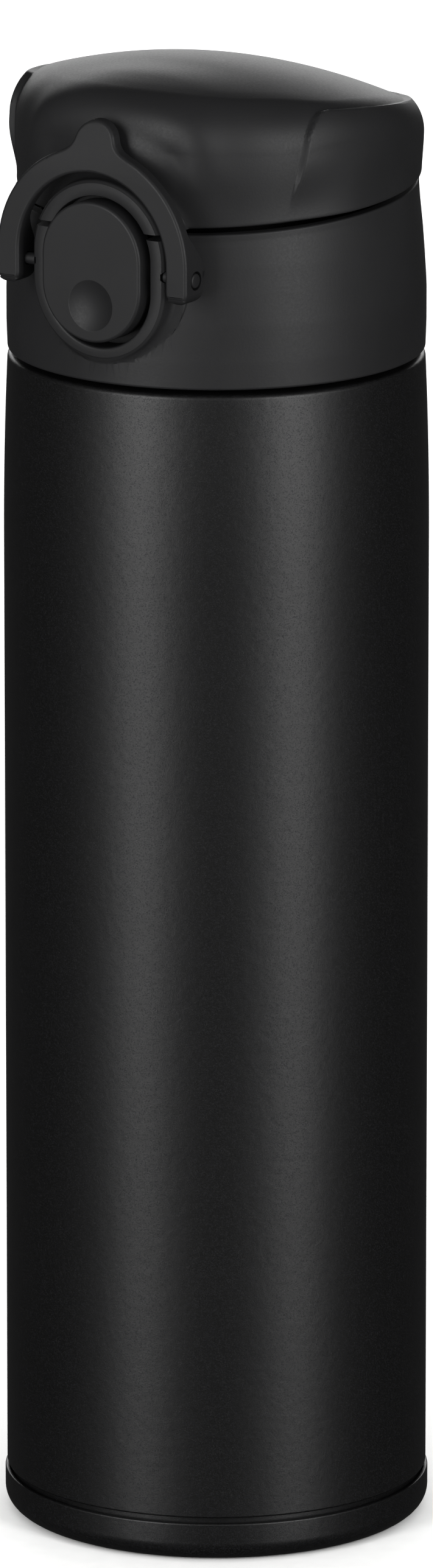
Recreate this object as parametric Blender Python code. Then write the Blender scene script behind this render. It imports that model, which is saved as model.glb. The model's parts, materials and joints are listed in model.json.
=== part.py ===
"""Vacuum flask with a one-push lid, a folding lock ring and a screw-off cap unit.

Metres, +Z up. The origin is on the bottle's axis at the face it stands on, and the front,
with the push button, faces -Y. Run it with blender --background --python part.py.
"""

import math

import bmesh
import bpy
from mathutils import Matrix
from mathutils import Vector

MM = 0.001

# ---- clearances ----
GAP = 0.3 * MM
SEAM = 0.8 * MM
PIN_PLAY = 0.15 * MM
TRIM_STEP = 0.4 * MM

# ---- bottle: outer shell, vessel and base ----
BODY_R = 32.5 * MM
BODY_DRAW_IN = 0.65 * MM
SHELL_WALL = 0.5 * MM
TAPER_LENGTH = 28.4 * MM
SHOULDER_Z = 183.4 * MM
SHOULDER_ROUND = 0.8 * MM
SHOULDER_WIDTH = 6.85 * MM
BASE_LIP_Z = 6.2 * MM
BASE_PROUD = 0.3 * MM
BASE_WALL = 0.6 * MM
BASE_EDGE_R = 4.2 * MM
FOOT_WIDTH = 6.6 * MM
FOOT_HEIGHT = 1.0 * MM
VACUUM_SPACE = 1.6 * MM
VESSEL_WALL = 0.4 * MM
VESSEL_FLOOR_RISE = 6.0 * MM
VESSEL_SHOULDER = 12.0 * MM
NECK_HEIGHT = 12.6 * MM
MOUTH_LIP = 4.0 * MM
FOIL_THICKNESS = 0.25 * MM
SEAL_HOLE_R = 1.5 * MM
GETTER_R = 3.0 * MM
GETTER_HEIGHT = 1.8 * MM

# ---- thread between the neck and the cap ----
THREAD_PITCH = 4.0 * MM
THREAD_TURNS = 1.5
THREAD_DEPTH = 1.2 * MM
THREAD_ROOT_WIDTH = 1.4 * MM
THREAD_CREST_WIDTH = 0.8 * MM
THREAD_RISE = 3.8 * MM
THREAD_PLAY = 0.4 * MM

# ---- cap base ----
BELLY_PROUD = 0.15 * MM
WAIST_DEPTH = 1.2 * MM
CAP_HEIGHT = 25.8 * MM
RIM_WALL = 1.8 * MM
SHELF_THICKNESS = 1.6 * MM
CAP_CORE_TOP = 5.6 * MM
PARTING_SLOPE = 0.0643
PARTING_GAP = 0.9 * MM

# ---- drinking spout ----
GASKET_HEIGHT = 1.3 * MM
SPOUT_SET_IN = 3.8 * MM
SPOUT_WALL = 1.6 * MM
SPOUT_FLANGE = 1.4 * MM
SPOUT_RISE = 4.0 * MM

# ---- push button, in its pocket behind a raised bezel ----
BUTTON_R = 8.8 * MM
BUTTON_DROP = 6.2 * MM
BUTTON_STRAIGHT = 4.0 * MM
BUTTON_PROUD = 2.8 * MM
BUTTON_THICKNESS = 3.6 * MM
BUTTON_EDGE = 0.5 * MM
BUTTON_PLAY = 0.5 * MM
BUTTON_CRESCENT = 0.6 * MM
DIMPLE_R = 4.0 * MM
DIMPLE_DEPTH = 0.9 * MM
DIMPLE_MARGIN = 1.7 * MM
BUTTON_PIN_DEPTH = 4.3 * MM
BUTTON_PIN_DROP = 0.8 * MM
BUTTON_PIN_R = 1.0 * MM
BUTTON_LUG_R = 1.7 * MM
POCKET_DEPTH = 6.2 * MM
BEZEL_WIDTH = 2.8 * MM
BEZEL_PROUD = 0.6 * MM
BEZEL_FLARE = 0.4 * MM
BEZEL_ROOT = 0.6 * MM
LATCH_HALF_WIDTH = 4.0 * MM
LATCH_RISE = 2.4 * MM
LATCH_TOOTH = 0.4 * MM

# ---- lock ring ----
RING_CLEARANCE = 1.1 * MM
RING_WIDTH = 3.8 * MM
RING_SET_BACK = 0.2 * MM
RING_THICKNESS = 1.8 * MM
RING_LIMB_DEPTH = 4.6 * MM
RING_FOOT_DROP = 3.6 * MM
RING_EDGE = 0.5 * MM
RING_FOOT_ROUND = 1.4 * MM
RING_HEAD_DEPTH = 0.8 * MM
RING_PIN_DEPTH = 2.8 * MM
RING_PIN_DROP = 1.8 * MM
RING_PIN_R = 0.9 * MM
RING_PIN_HEAD_R = 1.3 * MM
RING_PIN_BITE = 1.0 * MM
RING_SWING_PLAY = 0.4 * MM
TAB_ROOT_WIDTH = 11.4 * MM
TAB_TIP_R = 3.6 * MM
TAB_HEIGHT = 4.1 * MM
TAB_LEAN = 0.25

# ---- lid ----
LID_STEP = 0.4 * MM
LID_WALL = 2.4 * MM
LID_HEIGHT = 20.0 * MM
CROWN_Y = -8.0 * MM
CROWN_REAR_FALL = 11.17 * MM
CROWN_SIDE_FALL = 5.25 * MM
FRONT_FILLET = 8.0 * MM
CHEEK_FILLET = 2.4 * MM
CHEEK_PROUD = 0.7 * MM
CHEEK_FROM = math.radians(52)
CHEEK_TO = math.radians(60)
LINER_PLAY = 1.4 * MM
LINER_WALL = 1.4 * MM
LINER_FLANGE_RISE = 1.0 * MM
LINER_SKIRT_DROP = 0.2 * MM
SEAL_LAP = 2.2 * MM
SEAL_PLAY = 0.7 * MM
SEAL_HEIGHT = 2.7 * MM
SEAL_PLUG_DEPTH = 1.7 * MM
SEAL_PLUG_PLAY = 1.0 * MM

# ---- lid hinge ----
HINGE_SET_IN = 1.5 * MM
HINGE_DROP = 1.0 * MM
HINGE_PIN_R = 1.0 * MM
KNUCKLE_R = 3.4 * MM
KNUCKLE_INNER_X = 3.9 * MM
KNUCKLE_OUTER_X = 8.9 * MM
KNUCKLE_PLAY = 0.6 * MM
EAR_WIDTH = 3.3 * MM
NOTCH_PLAY = 1.4 * MM
BRIDGE_THICKNESS = 2.3 * MM
BRIDGE_CLEARANCE = 1.0 * MM
COVER_MARGIN = 0.2 * MM
COVER_FRONT = 2.6 * MM
COVER_LIP = 2.5 * MM
COVER_BEHIND = 0.4 * MM
LID_SPRING_R = 1.9 * MM
LID_SPRING_WIRE_R = 0.35 * MM
LID_SPRING_TURNS = 4

# ---- facets ----
ROUND = 40
SMALL_ROUND = 20

# ---- sizes that follow from the ones above: bottle ----
BODY_TOP_R = BODY_R - BODY_DRAW_IN
BASE_R = BODY_R + BASE_PROUD
NECK_R = BODY_TOP_R - SHOULDER_WIDTH
MOUTH_R = NECK_R - MOUTH_LIP
VESSEL_R = BODY_R - SHELL_WALL - VACUUM_SPACE
SKIRT_R = BASE_R - BASE_WALL - GAP - 0.1 * MM
SEAM_Z = BASE_LIP_Z + SEAM
TAPER_START_Z = SHOULDER_Z - TAPER_LENGTH
VESSEL_FLOOR_Z = BASE_LIP_Z + VESSEL_FLOOR_RISE
NECK_TOP_Z = SHOULDER_Z + NECK_HEIGHT
THREAD_START_Z = SHOULDER_Z + THREAD_RISE

# ---- and cap unit ----
CAP_BOTTOM_Z = SHOULDER_Z + SEAM
PARTING_Z = CAP_BOTTOM_Z + CAP_HEIGHT
CAP_BELLY_R = BODY_TOP_R + BELLY_PROUD
CAP_WAIST_R = CAP_BELLY_R - WAIST_DEPTH
RIM_INNER_R = CAP_WAIST_R - RIM_WALL
CAP_BORE_R = NECK_R + THREAD_DEPTH + THREAD_PLAY
GASKET_R = NECK_R + 0.2 * MM
GASKET_Z = NECK_TOP_Z + GAP
FLANGE_Z = GASKET_Z + GASKET_HEIGHT + GAP
SHELF_Z = FLANGE_Z + SPOUT_FLANGE + GAP
CORE_TOP_Z = SHELF_Z + CAP_CORE_TOP
SPOUT_R = MOUTH_R - SPOUT_SET_IN
SPOUT_TOP_Z = PARTING_Z + SPOUT_RISE

# ---- and button and ring ----
BUTTON_UPPER_Z = PARTING_Z - BUTTON_DROP
BUTTON_LOWER_Z = BUTTON_UPPER_Z - BUTTON_STRAIGHT
BUTTON_FACE_Y = -CAP_BELLY_R - BUTTON_PROUD
BUTTON_BACK_Y = BUTTON_FACE_Y + BUTTON_THICKNESS
BUTTON_PIN_Y = BUTTON_FACE_Y + BUTTON_PIN_DEPTH
BUTTON_PIN_Z = BUTTON_UPPER_Z - BUTTON_PIN_DROP
DIMPLE_Z = BUTTON_LOWER_Z - BUTTON_R + DIMPLE_R + DIMPLE_MARGIN
POCKET_R = BUTTON_R + BUTTON_PLAY
POCKET_FLOOR_Y = BUTTON_FACE_Y + POCKET_DEPTH
BEZEL_R = POCKET_R + BEZEL_WIDTH
BEZEL_FACE_Y = -CAP_BELLY_R - BEZEL_PROUD
BEZEL_BACK_Y = POCKET_FLOOR_Y + BEZEL_ROOT
LATCH_Z = BUTTON_UPPER_Z + LATCH_RISE
RING_CENTRE_Z = BUTTON_UPPER_Z
RING_INNER_R = BEZEL_R + RING_CLEARANCE
RING_OUTER_R = RING_INNER_R + RING_WIDTH
RING_FACE_Y = BUTTON_FACE_Y + RING_SET_BACK
RING_BACK_Y = RING_FACE_Y + RING_THICKNESS
RING_PIN_Y = RING_FACE_Y + RING_PIN_DEPTH
RING_PIN_Z = BUTTON_UPPER_Z - RING_PIN_DROP
RING_FOOT_Z = RING_PIN_Z - RING_FOOT_DROP
TAB_TIP_Z = RING_CENTRE_Z + RING_OUTER_R + TAB_HEIGHT

# ---- and lid and hinge ----
LID_R = CAP_WAIST_R - LID_STEP
LID_INNER_R = LID_R - LID_WALL
LID_CROWN_Z = PARTING_Z + LID_HEIGHT
CROWN_RADIUS_Y = (LID_R - CROWN_Y) ** 2 / (2 * CROWN_REAR_FALL)
CROWN_RADIUS_X = LID_R**2 / (2 * CROWN_SIDE_FALL)
LINER_R = LID_INNER_R - LINER_PLAY
LINER_CUP_R = SPOUT_R + SEAL_LAP + SEAL_PLAY + LINER_WALL
LINER_FLANGE_Z = PARTING_Z + LINER_FLANGE_RISE
LINER_SKIRT_Z = PARTING_Z - LINER_SKIRT_DROP
HINGE_Y = CAP_BELLY_R - HINGE_SET_IN
HINGE_Z = PARTING_Z - HINGE_DROP
EAR_INNER_X = KNUCKLE_OUTER_X + 2 * GAP
EAR_OUTER_X = EAR_INNER_X + EAR_WIDTH
NOTCH_DEPTH = KNUCKLE_R + NOTCH_PLAY
NOTCH_FRONT = KNUCKLE_R + KNUCKLE_PLAY
BRIDGE_Z = HINGE_Z + KNUCKLE_R + KNUCKLE_PLAY
BRIDGE_FRONT_Y = LINER_CUP_R + BRIDGE_CLEARANCE
COVER_HALF_WIDTH = EAR_OUTER_X + COVER_MARGIN
COVER_FRONT_Y = HINGE_Y - KNUCKLE_R - COVER_FRONT
COVER_OVERHANG = KNUCKLE_R + COVER_BEHIND


def clear_scene():
    for obj in list(bpy.data.objects):
        bpy.data.objects.remove(obj, do_unlink=True)


def make_material(name, colour, roughness, metallic):
    mat = bpy.data.materials.new(name)
    mat.use_nodes = True
    shader = mat.node_tree.nodes["Principled BSDF"]
    shader.inputs["Base Color"].default_value = (*colour, 1.0)
    shader.inputs["Roughness"].default_value = roughness
    shader.inputs["Metallic"].default_value = metallic
    return mat


def add_object(name, bm, mat, origin=(0.0, 0.0, 0.0)):
    """Makes a named object from a bmesh in world space, with its origin where asked."""
    bm.transform(Matrix.Translation(-Vector(origin)))
    mesh = bpy.data.meshes.new(name)
    bm.to_mesh(mesh)
    bm.free()
    mesh.materials.append(mat)
    mesh.shade_smooth()
    mesh.set_sharp_from_angle(angle=math.radians(35))
    obj = bpy.data.objects.new(name, mesh)
    obj.location = origin
    bpy.context.collection.objects.link(obj)
    return obj


def add_joint_empty(name, location):
    """An empty on a joint's axis, for the pieces that turn there."""
    empty = bpy.data.objects.new(name, None)
    empty.location = location
    bpy.context.collection.objects.link(empty)
    return empty


def hang_on(empty, *pieces):
    """Parents pieces to a joint's empty and leaves them where they are."""
    for piece in pieces:
        piece.parent = empty
        piece.matrix_parent_inverse = Matrix.Translation(-empty.location)


def tidy(bm):
    """Closes the seam of a turned or lofted shape and points its faces out."""
    bmesh.ops.remove_doubles(bm, verts=bm.verts, dist=0.002 * MM)
    bmesh.ops.recalc_face_normals(bm, faces=bm.faces)
    return bm


def arc(centre, radius, start, end, steps):
    """Points on a circle's arc, angles in degrees."""
    angles = [math.radians(start + (end - start) * i / steps) for i in range(steps + 1)]
    return [
        (centre[0] + radius * math.cos(a), centre[1] + radius * math.sin(a))
        for a in angles
    ]


def turned(profile, closed=True, segments=ROUND):
    """Turns (radius, height) points about Z. An open profile starts and ends on the axis."""
    bm = bmesh.new()
    verts = [bm.verts.new((r, 0.0, z)) for r, z in profile]
    pairs = list(zip(verts, verts[1:]))
    if closed:
        pairs.append((verts[-1], verts[0]))
    edges = [bm.edges.new(pair) for pair in pairs]
    bmesh.ops.spin(
        bm,
        geom=verts + edges,
        cent=(0, 0, 0),
        axis=(0, 0, 1),
        angle=2 * math.pi,
        steps=segments,
        use_merge=True,
    )
    return tidy(bm)


def prism(outline, axis, start, end):
    """Extrudes an outline along X or Y. Points are (Y, Z) along X and (X, Z) along Y."""
    bm = bmesh.new()
    place = {
        "X": lambda p: (start, p[0], p[1]),
        "Y": lambda p: (p[0], start, p[1]),
    }[axis]
    travel = Vector((end - start, 0, 0)) if axis == "X" else Vector((0, end - start, 0))
    face = bm.faces.new([bm.verts.new(place(p)) for p in outline])
    grown = bmesh.ops.extrude_face_region(bm, geom=[face], use_keep_orig=True)
    moved = [v for v in grown["geom"] if isinstance(v, bmesh.types.BMVert)]
    bmesh.ops.translate(bm, verts=moved, vec=travel)
    return tidy(bm)


def box(low, high):
    bm = bmesh.new()
    size = Vector(high) - Vector(low)
    middle = (Vector(high) + Vector(low)) / 2
    place = Matrix.Translation(middle) @ Matrix.Diagonal((*size, 1.0))
    bmesh.ops.create_cube(bm, size=1.0, matrix=place)
    return bm


def rod(radius, start, end, centre, segments=SMALL_ROUND):
    """A round rod along X, centred on (y, z)."""
    outline = arc(centre, radius, 0, 360, segments)[:-1]
    return prism(outline, "X", start, end)


def combine(bm, other, operation):
    """One exact Boolean between two closed shapes."""
    objects = []
    for shape in (bm, other):
        mesh = bpy.data.meshes.new("shape")
        shape.to_mesh(mesh)
        shape.free()
        obj = bpy.data.objects.new("shape", mesh)
        bpy.context.collection.objects.link(obj)
        objects.append(obj)
    target, cutter = objects
    modifier = target.modifiers.new("combine", "BOOLEAN")
    modifier.operation = operation
    modifier.object = cutter
    graph = bpy.context.evaluated_depsgraph_get()
    result = bmesh.new()
    result.from_object(target, graph)
    for obj in objects:
        mesh = obj.data
        bpy.data.objects.remove(obj, do_unlink=True)
        bpy.data.meshes.remove(mesh)
    bmesh.ops.remove_doubles(result, verts=result.verts, dist=0.002 * MM)
    bmesh.ops.dissolve_degenerate(result, edges=result.edges, dist=0.002 * MM)
    return result


def cut(bm, *cutters):
    for cutter in cutters:
        bm = combine(bm, cutter, "DIFFERENCE")
    return bm


def join(bm, *others):
    for other in others:
        bm = combine(bm, other, "UNION")
    return bm


def parting(y):
    """Height of the tilted plane that parts the lid from the cap base."""
    return PARTING_Z + PARTING_SLOPE * y


def parting_block(side):
    """A block on one side of the parting plane, less half the gap: above is +1, below is -1."""
    reach = 60 * MM
    near, far = (parting(y) - side * PARTING_GAP / 2 for y in (-reach, reach))
    beyond = PARTING_Z + side * reach
    outline = [(-reach, near), (reach, far), (reach, beyond), (-reach, beyond)]
    return prism(outline, "X", -reach, reach)


def stadium(radius, upper_z, lower_z, steps=14):
    """An upright slot outline in X and Z."""
    return arc((0, upper_z), radius, 0, 180, steps) + arc(
        (0, lower_z), radius, 180, 360, steps
    )


def thread_ridge(root_r, crest_r, start_z):
    """A right-handed helical ridge from a root radius to a crest, in or out."""
    bm = bmesh.new()
    half_root = THREAD_ROOT_WIDTH / 2
    half_crest = THREAD_CREST_WIDTH / 2
    corners = [
        (root_r, start_z - half_root),
        (crest_r, start_z - half_crest),
        (crest_r, start_z + half_crest),
        (root_r, start_z + half_root),
    ]
    face = bm.faces.new([bm.verts.new((r, 0, z)) for r, z in corners])
    steps = round(THREAD_TURNS * 30)
    bmesh.ops.spin(
        bm,
        geom=face.verts[:] + face.edges[:] + [face],
        cent=(0, 0, 0),
        axis=(0, 0, 1),
        dvec=(0, 0, THREAD_PITCH * THREAD_TURNS / steps),
        angle=2 * math.pi * THREAD_TURNS,
        steps=steps,
    )
    bmesh.ops.holes_fill(bm, edges=bm.edges, sides=4)
    return tidy(bm)


# ---------------------------------------------------------------- bottle


def body_radius(z):
    """The wall is straight up to the taper, then draws in towards the shoulder."""
    part = max(0.0, (z - TAPER_START_Z) / (SHOULDER_Z - TAPER_START_Z))
    return BODY_R - (BODY_R - BODY_TOP_R) * part**2


def outer_shell(mat):
    taper = [
        TAPER_START_Z + (SHOULDER_Z - SHOULDER_ROUND - TAPER_START_Z) * i / 3
        for i in range(4)
    ]
    shoulder = arc(
        (BODY_TOP_R - SHOULDER_ROUND, SHOULDER_Z - SHOULDER_ROUND),
        SHOULDER_ROUND,
        30,
        90,
        2,
    )
    outside = (
        [
            (SKIRT_R, BASE_LIP_Z - 2.4 * MM),
            (SKIRT_R, SEAM_Z),
            (BODY_R - 0.3 * MM, SEAM_Z),
            (BODY_R, SEAM_Z + 0.3 * MM),
        ]
        + [(body_radius(z), z) for z in taper]
        + shoulder
        + [
            (NECK_R + 1.0 * MM, SHOULDER_Z + 0.3 * MM),
            (NECK_R, SHOULDER_Z + 1.3 * MM),
            (NECK_R, NECK_TOP_Z - 1.0 * MM),
        ]
    )
    inside = (
        [
            (NECK_R - SHELL_WALL, NECK_TOP_Z - 1.0 * MM),
            (NECK_R - SHELL_WALL, SHOULDER_Z),
            (NECK_R + 0.6 * MM, SHOULDER_Z - SHELL_WALL),
            (BODY_TOP_R - 1.6 * MM, SHOULDER_Z - SHELL_WALL - 0.3 * MM),
        ]
        + [(body_radius(z) - SHELL_WALL, z) for z in reversed(taper[:-1])]
        + [
            (BODY_R - SHELL_WALL, SEAM_Z + SHELL_WALL + 0.3 * MM),
            (SKIRT_R - SHELL_WALL, SEAM_Z + SHELL_WALL),
            (SKIRT_R - SHELL_WALL, BASE_LIP_Z - 2.4 * MM),
        ]
    )
    shell = turned(outside + inside)
    ridge = thread_ridge(NECK_R - 0.3 * MM, NECK_R + THREAD_DEPTH, THREAD_START_Z)
    return add_object("outer_shell", join(shell, ridge), mat)


def inner_vessel(mat):
    inner_r = VESSEL_R - VESSEL_WALL
    neck_r = MOUTH_R + VESSEL_WALL
    corner = 6.0 * MM
    cone_z = SHOULDER_Z - 15.4 * MM
    neck_z = cone_z + VESSEL_SHOULDER
    lip_z = NECK_TOP_Z - 0.7 * MM
    outside = (
        [(0, VESSEL_FLOOR_Z)]
        + arc((VESSEL_R - corner, VESSEL_FLOOR_Z + corner), corner, -90, 0, 3)
        + [
            (VESSEL_R, cone_z),
            (neck_r + 0.8 * MM, neck_z - 1.0 * MM),
            (neck_r, neck_z + 0.4 * MM),
            (neck_r, lip_z),
            (NECK_R - 0.1 * MM, lip_z),
            (NECK_R - 0.1 * MM, NECK_TOP_Z),
            (MOUTH_R + 0.4 * MM, NECK_TOP_Z),
        ]
    )
    inside = [
        (MOUTH_R, NECK_TOP_Z - 0.4 * MM),
        (MOUTH_R, neck_z + 0.2 * MM),
        (MOUTH_R + 0.6 * MM, neck_z - 1.0 * MM),
        (inner_r, cone_z - 0.3 * MM),
    ]
    floor = arc(
        (VESSEL_R - corner, VESSEL_FLOOR_Z + corner), corner - VESSEL_WALL, 0, -90, 3
    )
    profile = outside + inside + floor + [(0, VESSEL_FLOOR_Z + VESSEL_WALL)]
    return add_object("inner_vessel", turned(profile, closed=False), mat)


def radiation_foil(mat):
    low = VESSEL_FLOOR_Z + 8 * MM
    high = SHOULDER_Z - 18 * MM
    inner = VESSEL_R + 0.45 * MM
    outer = inner + FOIL_THICKNESS
    profile = [(outer, low), (outer, high), (inner, high), (inner, low)]
    return add_object("radiation_foil", turned(profile), mat)


def outer_bottom(mat):
    edge_r = SKIRT_R - SHELL_WALL - GAP
    top_z = BASE_LIP_Z
    under_z = top_z - SHELL_WALL
    rise = 1.2 * MM
    profile = [
        (SEAL_HOLE_R, under_z + rise),
        (4.5 * MM, under_z + rise),
        (7.0 * MM, under_z),
        (edge_r - SHELL_WALL, under_z),
        (edge_r - SHELL_WALL, BASE_LIP_Z - 2.2 * MM),
        (edge_r, BASE_LIP_Z - 2.2 * MM),
        (edge_r, top_z),
        (7.0 * MM, top_z),
        (4.5 * MM, top_z + rise),
        (SEAL_HOLE_R, top_z + rise),
    ]
    return add_object("outer_bottom", turned(profile), mat)


def vacuum_seal(mat):
    under_z = BASE_LIP_Z - SHELL_WALL + 1.2 * MM
    stem_r = SEAL_HOLE_R - GAP
    bead_r = 2.8 * MM
    profile = [
        (0, under_z - 1.1 * MM),
        (1.6 * MM, under_z - 0.95 * MM),
        (bead_r, under_z - GAP - 0.2 * MM),
        (bead_r, under_z - GAP),
        (stem_r, under_z - GAP),
        (stem_r, under_z + SHELL_WALL),
        (0, under_z + SHELL_WALL + 0.3 * MM),
    ]
    return add_object("vacuum_seal", turned(profile, False, SMALL_ROUND), mat)


def getter(mat):
    low = BASE_LIP_Z + GAP
    profile = [
        (0, low),
        (GETTER_R, low),
        (GETTER_R, low + GETTER_HEIGHT - 0.3 * MM),
        (GETTER_R - 0.3 * MM, low + GETTER_HEIGHT),
        (0, low + GETTER_HEIGHT),
    ]
    bm = turned(profile, False, SMALL_ROUND)
    bmesh.ops.translate(bm, verts=bm.verts, vec=(VESSEL_R / 2, 0, 0))
    return add_object("getter", bm, mat)


def base_cup(mat):
    foot_outer = BASE_R - BASE_EDGE_R
    foot_inner = foot_outer - FOOT_WIDTH
    slope = 1.4 * MM
    centre = (foot_outer, BASE_EDGE_R)
    outside = (
        [(0, FOOT_HEIGHT), (foot_inner - slope, FOOT_HEIGHT), (foot_inner, 0)]
        + arc(centre, BASE_EDGE_R, -90, 0, 4)
        + [
            (BASE_R, BASE_LIP_Z - TRIM_STEP),
            (BASE_R - TRIM_STEP, BASE_LIP_Z),
            (BASE_R - BASE_WALL, BASE_LIP_Z),
        ]
    )
    inside = arc(centre, BASE_EDGE_R - BASE_WALL, 0, -90, 3) + [
        (foot_inner + 0.3 * MM, BASE_WALL),
        (foot_inner - slope + 0.3 * MM, FOOT_HEIGHT + BASE_WALL),
        (0, FOOT_HEIGHT + BASE_WALL),
    ]
    return add_object("base_cup", turned(outside + inside, closed=False), mat)


# ---------------------------------------------------------------- cap unit


def cap_wall():
    """The turned body of the cap base, higher than the parting plane all round."""
    top = PARTING_Z + 5 * MM
    rise = PARTING_Z - CAP_BOTTOM_Z
    outside = [
        (BODY_TOP_R - TRIM_STEP, CAP_BOTTOM_Z),
        (BODY_TOP_R, CAP_BOTTOM_Z + TRIM_STEP),
        (CAP_BELLY_R, CAP_BOTTOM_Z + 0.16 * rise),
        (CAP_BELLY_R, CAP_BOTTOM_Z + 0.38 * rise),
        (CAP_BELLY_R - 0.3 * MM, CAP_BOTTOM_Z + 0.57 * rise),
        (CAP_BELLY_R - 0.6 * MM, CAP_BOTTOM_Z + 0.73 * rise),
        (CAP_WAIST_R + 0.15 * MM, CAP_BOTTOM_Z + 0.88 * rise),
        (CAP_WAIST_R, CAP_BOTTOM_Z + 0.95 * rise),
        (CAP_WAIST_R, top),
    ]
    inside = [
        (RIM_INNER_R, top),
        (RIM_INNER_R, CORE_TOP_Z),
        (CAP_BORE_R, CORE_TOP_Z),
        (CAP_BORE_R, SHELF_Z + SHELF_THICKNESS),
        (SPOUT_R + TRIM_STEP, SHELF_Z + SHELF_THICKNESS),
        (SPOUT_R + TRIM_STEP, SHELF_Z),
        (CAP_BORE_R, SHELF_Z),
        (CAP_BORE_R, CAP_BOTTOM_Z + 0.6 * MM),
        (CAP_BORE_R + 0.6 * MM, CAP_BOTTOM_Z),
    ]
    return turned(outside + inside)


def bezel_block():
    """The raised frame round the button. It flares a little towards the cap."""
    flared = stadium(BEZEL_R + BEZEL_FLARE, BUTTON_UPPER_Z, BUTTON_LOWER_Z)
    bm = prism(flared, "Y", BEZEL_BACK_Y, BEZEL_FACE_Y)
    shrink = (BEZEL_R - BEZEL_FLARE) / (BEZEL_R + BEZEL_FLARE)
    middle_z = (BUTTON_UPPER_Z + BUTTON_LOWER_Z) / 2
    for vert in bm.verts:
        if vert.co.y < (BEZEL_FACE_Y + BEZEL_BACK_Y) / 2:
            vert.co.x *= shrink
            vert.co.z = middle_z + (vert.co.z - middle_z) * shrink
    return bm


def pocket(floor_y):
    """The slot that the button rocks in, down to a flat floor."""
    outline = stadium(POCKET_R, BUTTON_UPPER_Z, BUTTON_LOWER_Z - BUTTON_CRESCENT)
    return prism(outline, "Y", BUTTON_FACE_Y - 5 * MM, floor_y)


def hinge_block():
    """The rear block of the cap base that carries the hinge pin.

    It is flush with the cap's wall under the ears, so the hinge cover's lip can pass.
    """
    front_y = HINGE_Y - KNUCKLE_R - 1.0 * MM
    flush_y = CAP_BELLY_R - 0.4 * MM
    buried_y = CAP_BORE_R + 1.7 * MM
    foot_z = SHELF_Z - 2.6 * MM
    crown = arc((HINGE_Y, HINGE_Z), KNUCKLE_R, -60, 180, 10)
    outline = [(buried_y, foot_z), (flush_y, SHELF_Z)] + crown
    outline += [
        (front_y, HINGE_Z),
        (front_y, CORE_TOP_Z - 2.4 * MM),
        (buried_y, SHELF_Z + SHELF_THICKNESS),
    ]
    return prism(outline, "X", -EAR_OUTER_X, EAR_OUTER_X)


def hinge_notch():
    """Room between the two ears for the lid's knuckles and the spring."""
    low = (-EAR_INNER_X, HINGE_Y - NOTCH_FRONT, HINGE_Z - NOTCH_DEPTH)
    high = (EAR_INNER_X, HINGE_Y + 10 * MM, HINGE_Z + 10 * MM)
    return box(low, high)


def ring_recess(side):
    """A hollow behind the ring's foot, where the foot swings when the ring folds down."""
    forward = RING_PIN_Y - RING_FACE_Y
    downward = RING_PIN_Z - RING_FOOT_Z
    sweep = math.hypot(forward, downward) + RING_SWING_PLAY
    inner = BEZEL_R + 2 * BEZEL_FLARE
    ends = sorted((side * inner, side * (RING_OUTER_R + RING_SWING_PLAY)))
    return rod(sweep, *ends, (RING_PIN_Y, RING_PIN_Z))


def ring_pin_start():
    """How far from the middle the ring's pins begin, inside the bezel's side."""
    return BEZEL_R - RING_PIN_BITE + BEZEL_FLARE


def ring_pin_hole(side):
    ends = sorted((side * (ring_pin_start() - GAP), side * RING_INNER_R))
    return rod(RING_PIN_R + PIN_PLAY, *ends, (RING_PIN_Y, RING_PIN_Z))


def button_pin_end():
    return POCKET_R + 0.9 * MM


def cap_base(mat):
    bm = join(cap_wall(), bezel_block())
    bm = cut(bm, parting_block(1))
    ridge = thread_ridge(
        CAP_BORE_R + 0.3 * MM,
        CAP_BORE_R - THREAD_DEPTH,
        THREAD_START_Z + THREAD_PITCH / 2,
    )
    bm = join(bm, hinge_block(), ridge)
    ear_end = EAR_OUTER_X + 2 * MM
    ear_hole = rod(HINGE_PIN_R + PIN_PLAY, -ear_end, ear_end, (HINGE_Y, HINGE_Z))
    button_end = button_pin_end() + GAP
    button_hole = rod(
        BUTTON_PIN_R + PIN_PLAY,
        -button_end,
        button_end,
        (BUTTON_PIN_Y, BUTTON_PIN_Z),
    )
    bm = cut(
        bm,
        pocket(POCKET_FLOOR_Y),
        latch_room(),
        hinge_notch(),
        ear_hole,
        button_hole,
        ring_recess(-1),
        ring_recess(1),
        ring_pin_hole(-1),
        ring_pin_hole(1),
    )
    return add_object("cap_base", bm, mat)


def latch_room():
    """A slot behind the button's top, where the lid's catch comes down."""
    half = LATCH_HALF_WIDTH + GAP
    low = (-half, POCKET_FLOOR_Y - 2 * MM, LATCH_Z - 1.2 * MM)
    high = (half, BEZEL_BACK_Y + 2 * MM, PARTING_Z)
    return box(low, high)


def drinking_spout(mat):
    lip = SPOUT_WALL / 2
    inner_r = SPOUT_R - SPOUT_WALL
    profile = (
        [
            (inner_r, FLANGE_Z),
            (GASKET_R, FLANGE_Z),
            (GASKET_R, FLANGE_Z + SPOUT_FLANGE),
            (SPOUT_R, FLANGE_Z + SPOUT_FLANGE),
        ]
        + arc((SPOUT_R - lip, SPOUT_TOP_Z - lip), lip, 0, 180, 4)
    )
    return add_object("drinking_spout", turned(profile), mat)


def spout_gasket(mat):
    inner_r = MOUTH_R - TRIM_STEP
    top = GASKET_Z + GASKET_HEIGHT
    profile = [
        (inner_r, GASKET_Z),
        (GASKET_R, GASKET_Z),
        (GASKET_R, top),
        (inner_r, top),
    ]
    return add_object("spout_gasket", turned(profile), mat)


# ---------------------------------------------------------------- button and lock ring


def soften_front(bm, face_y, width, segments):
    """Bevels the edges of a prism's front face."""
    rim = [e for e in bm.edges if all(v.co.y < face_y + GAP for v in e.verts)]
    bmesh.ops.bevel(
        bm,
        geom=rim,
        offset=width,
        offset_type="OFFSET",
        affect="EDGES",
        segments=segments,
        profile=0.5,
        material=-1,
    )


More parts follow.
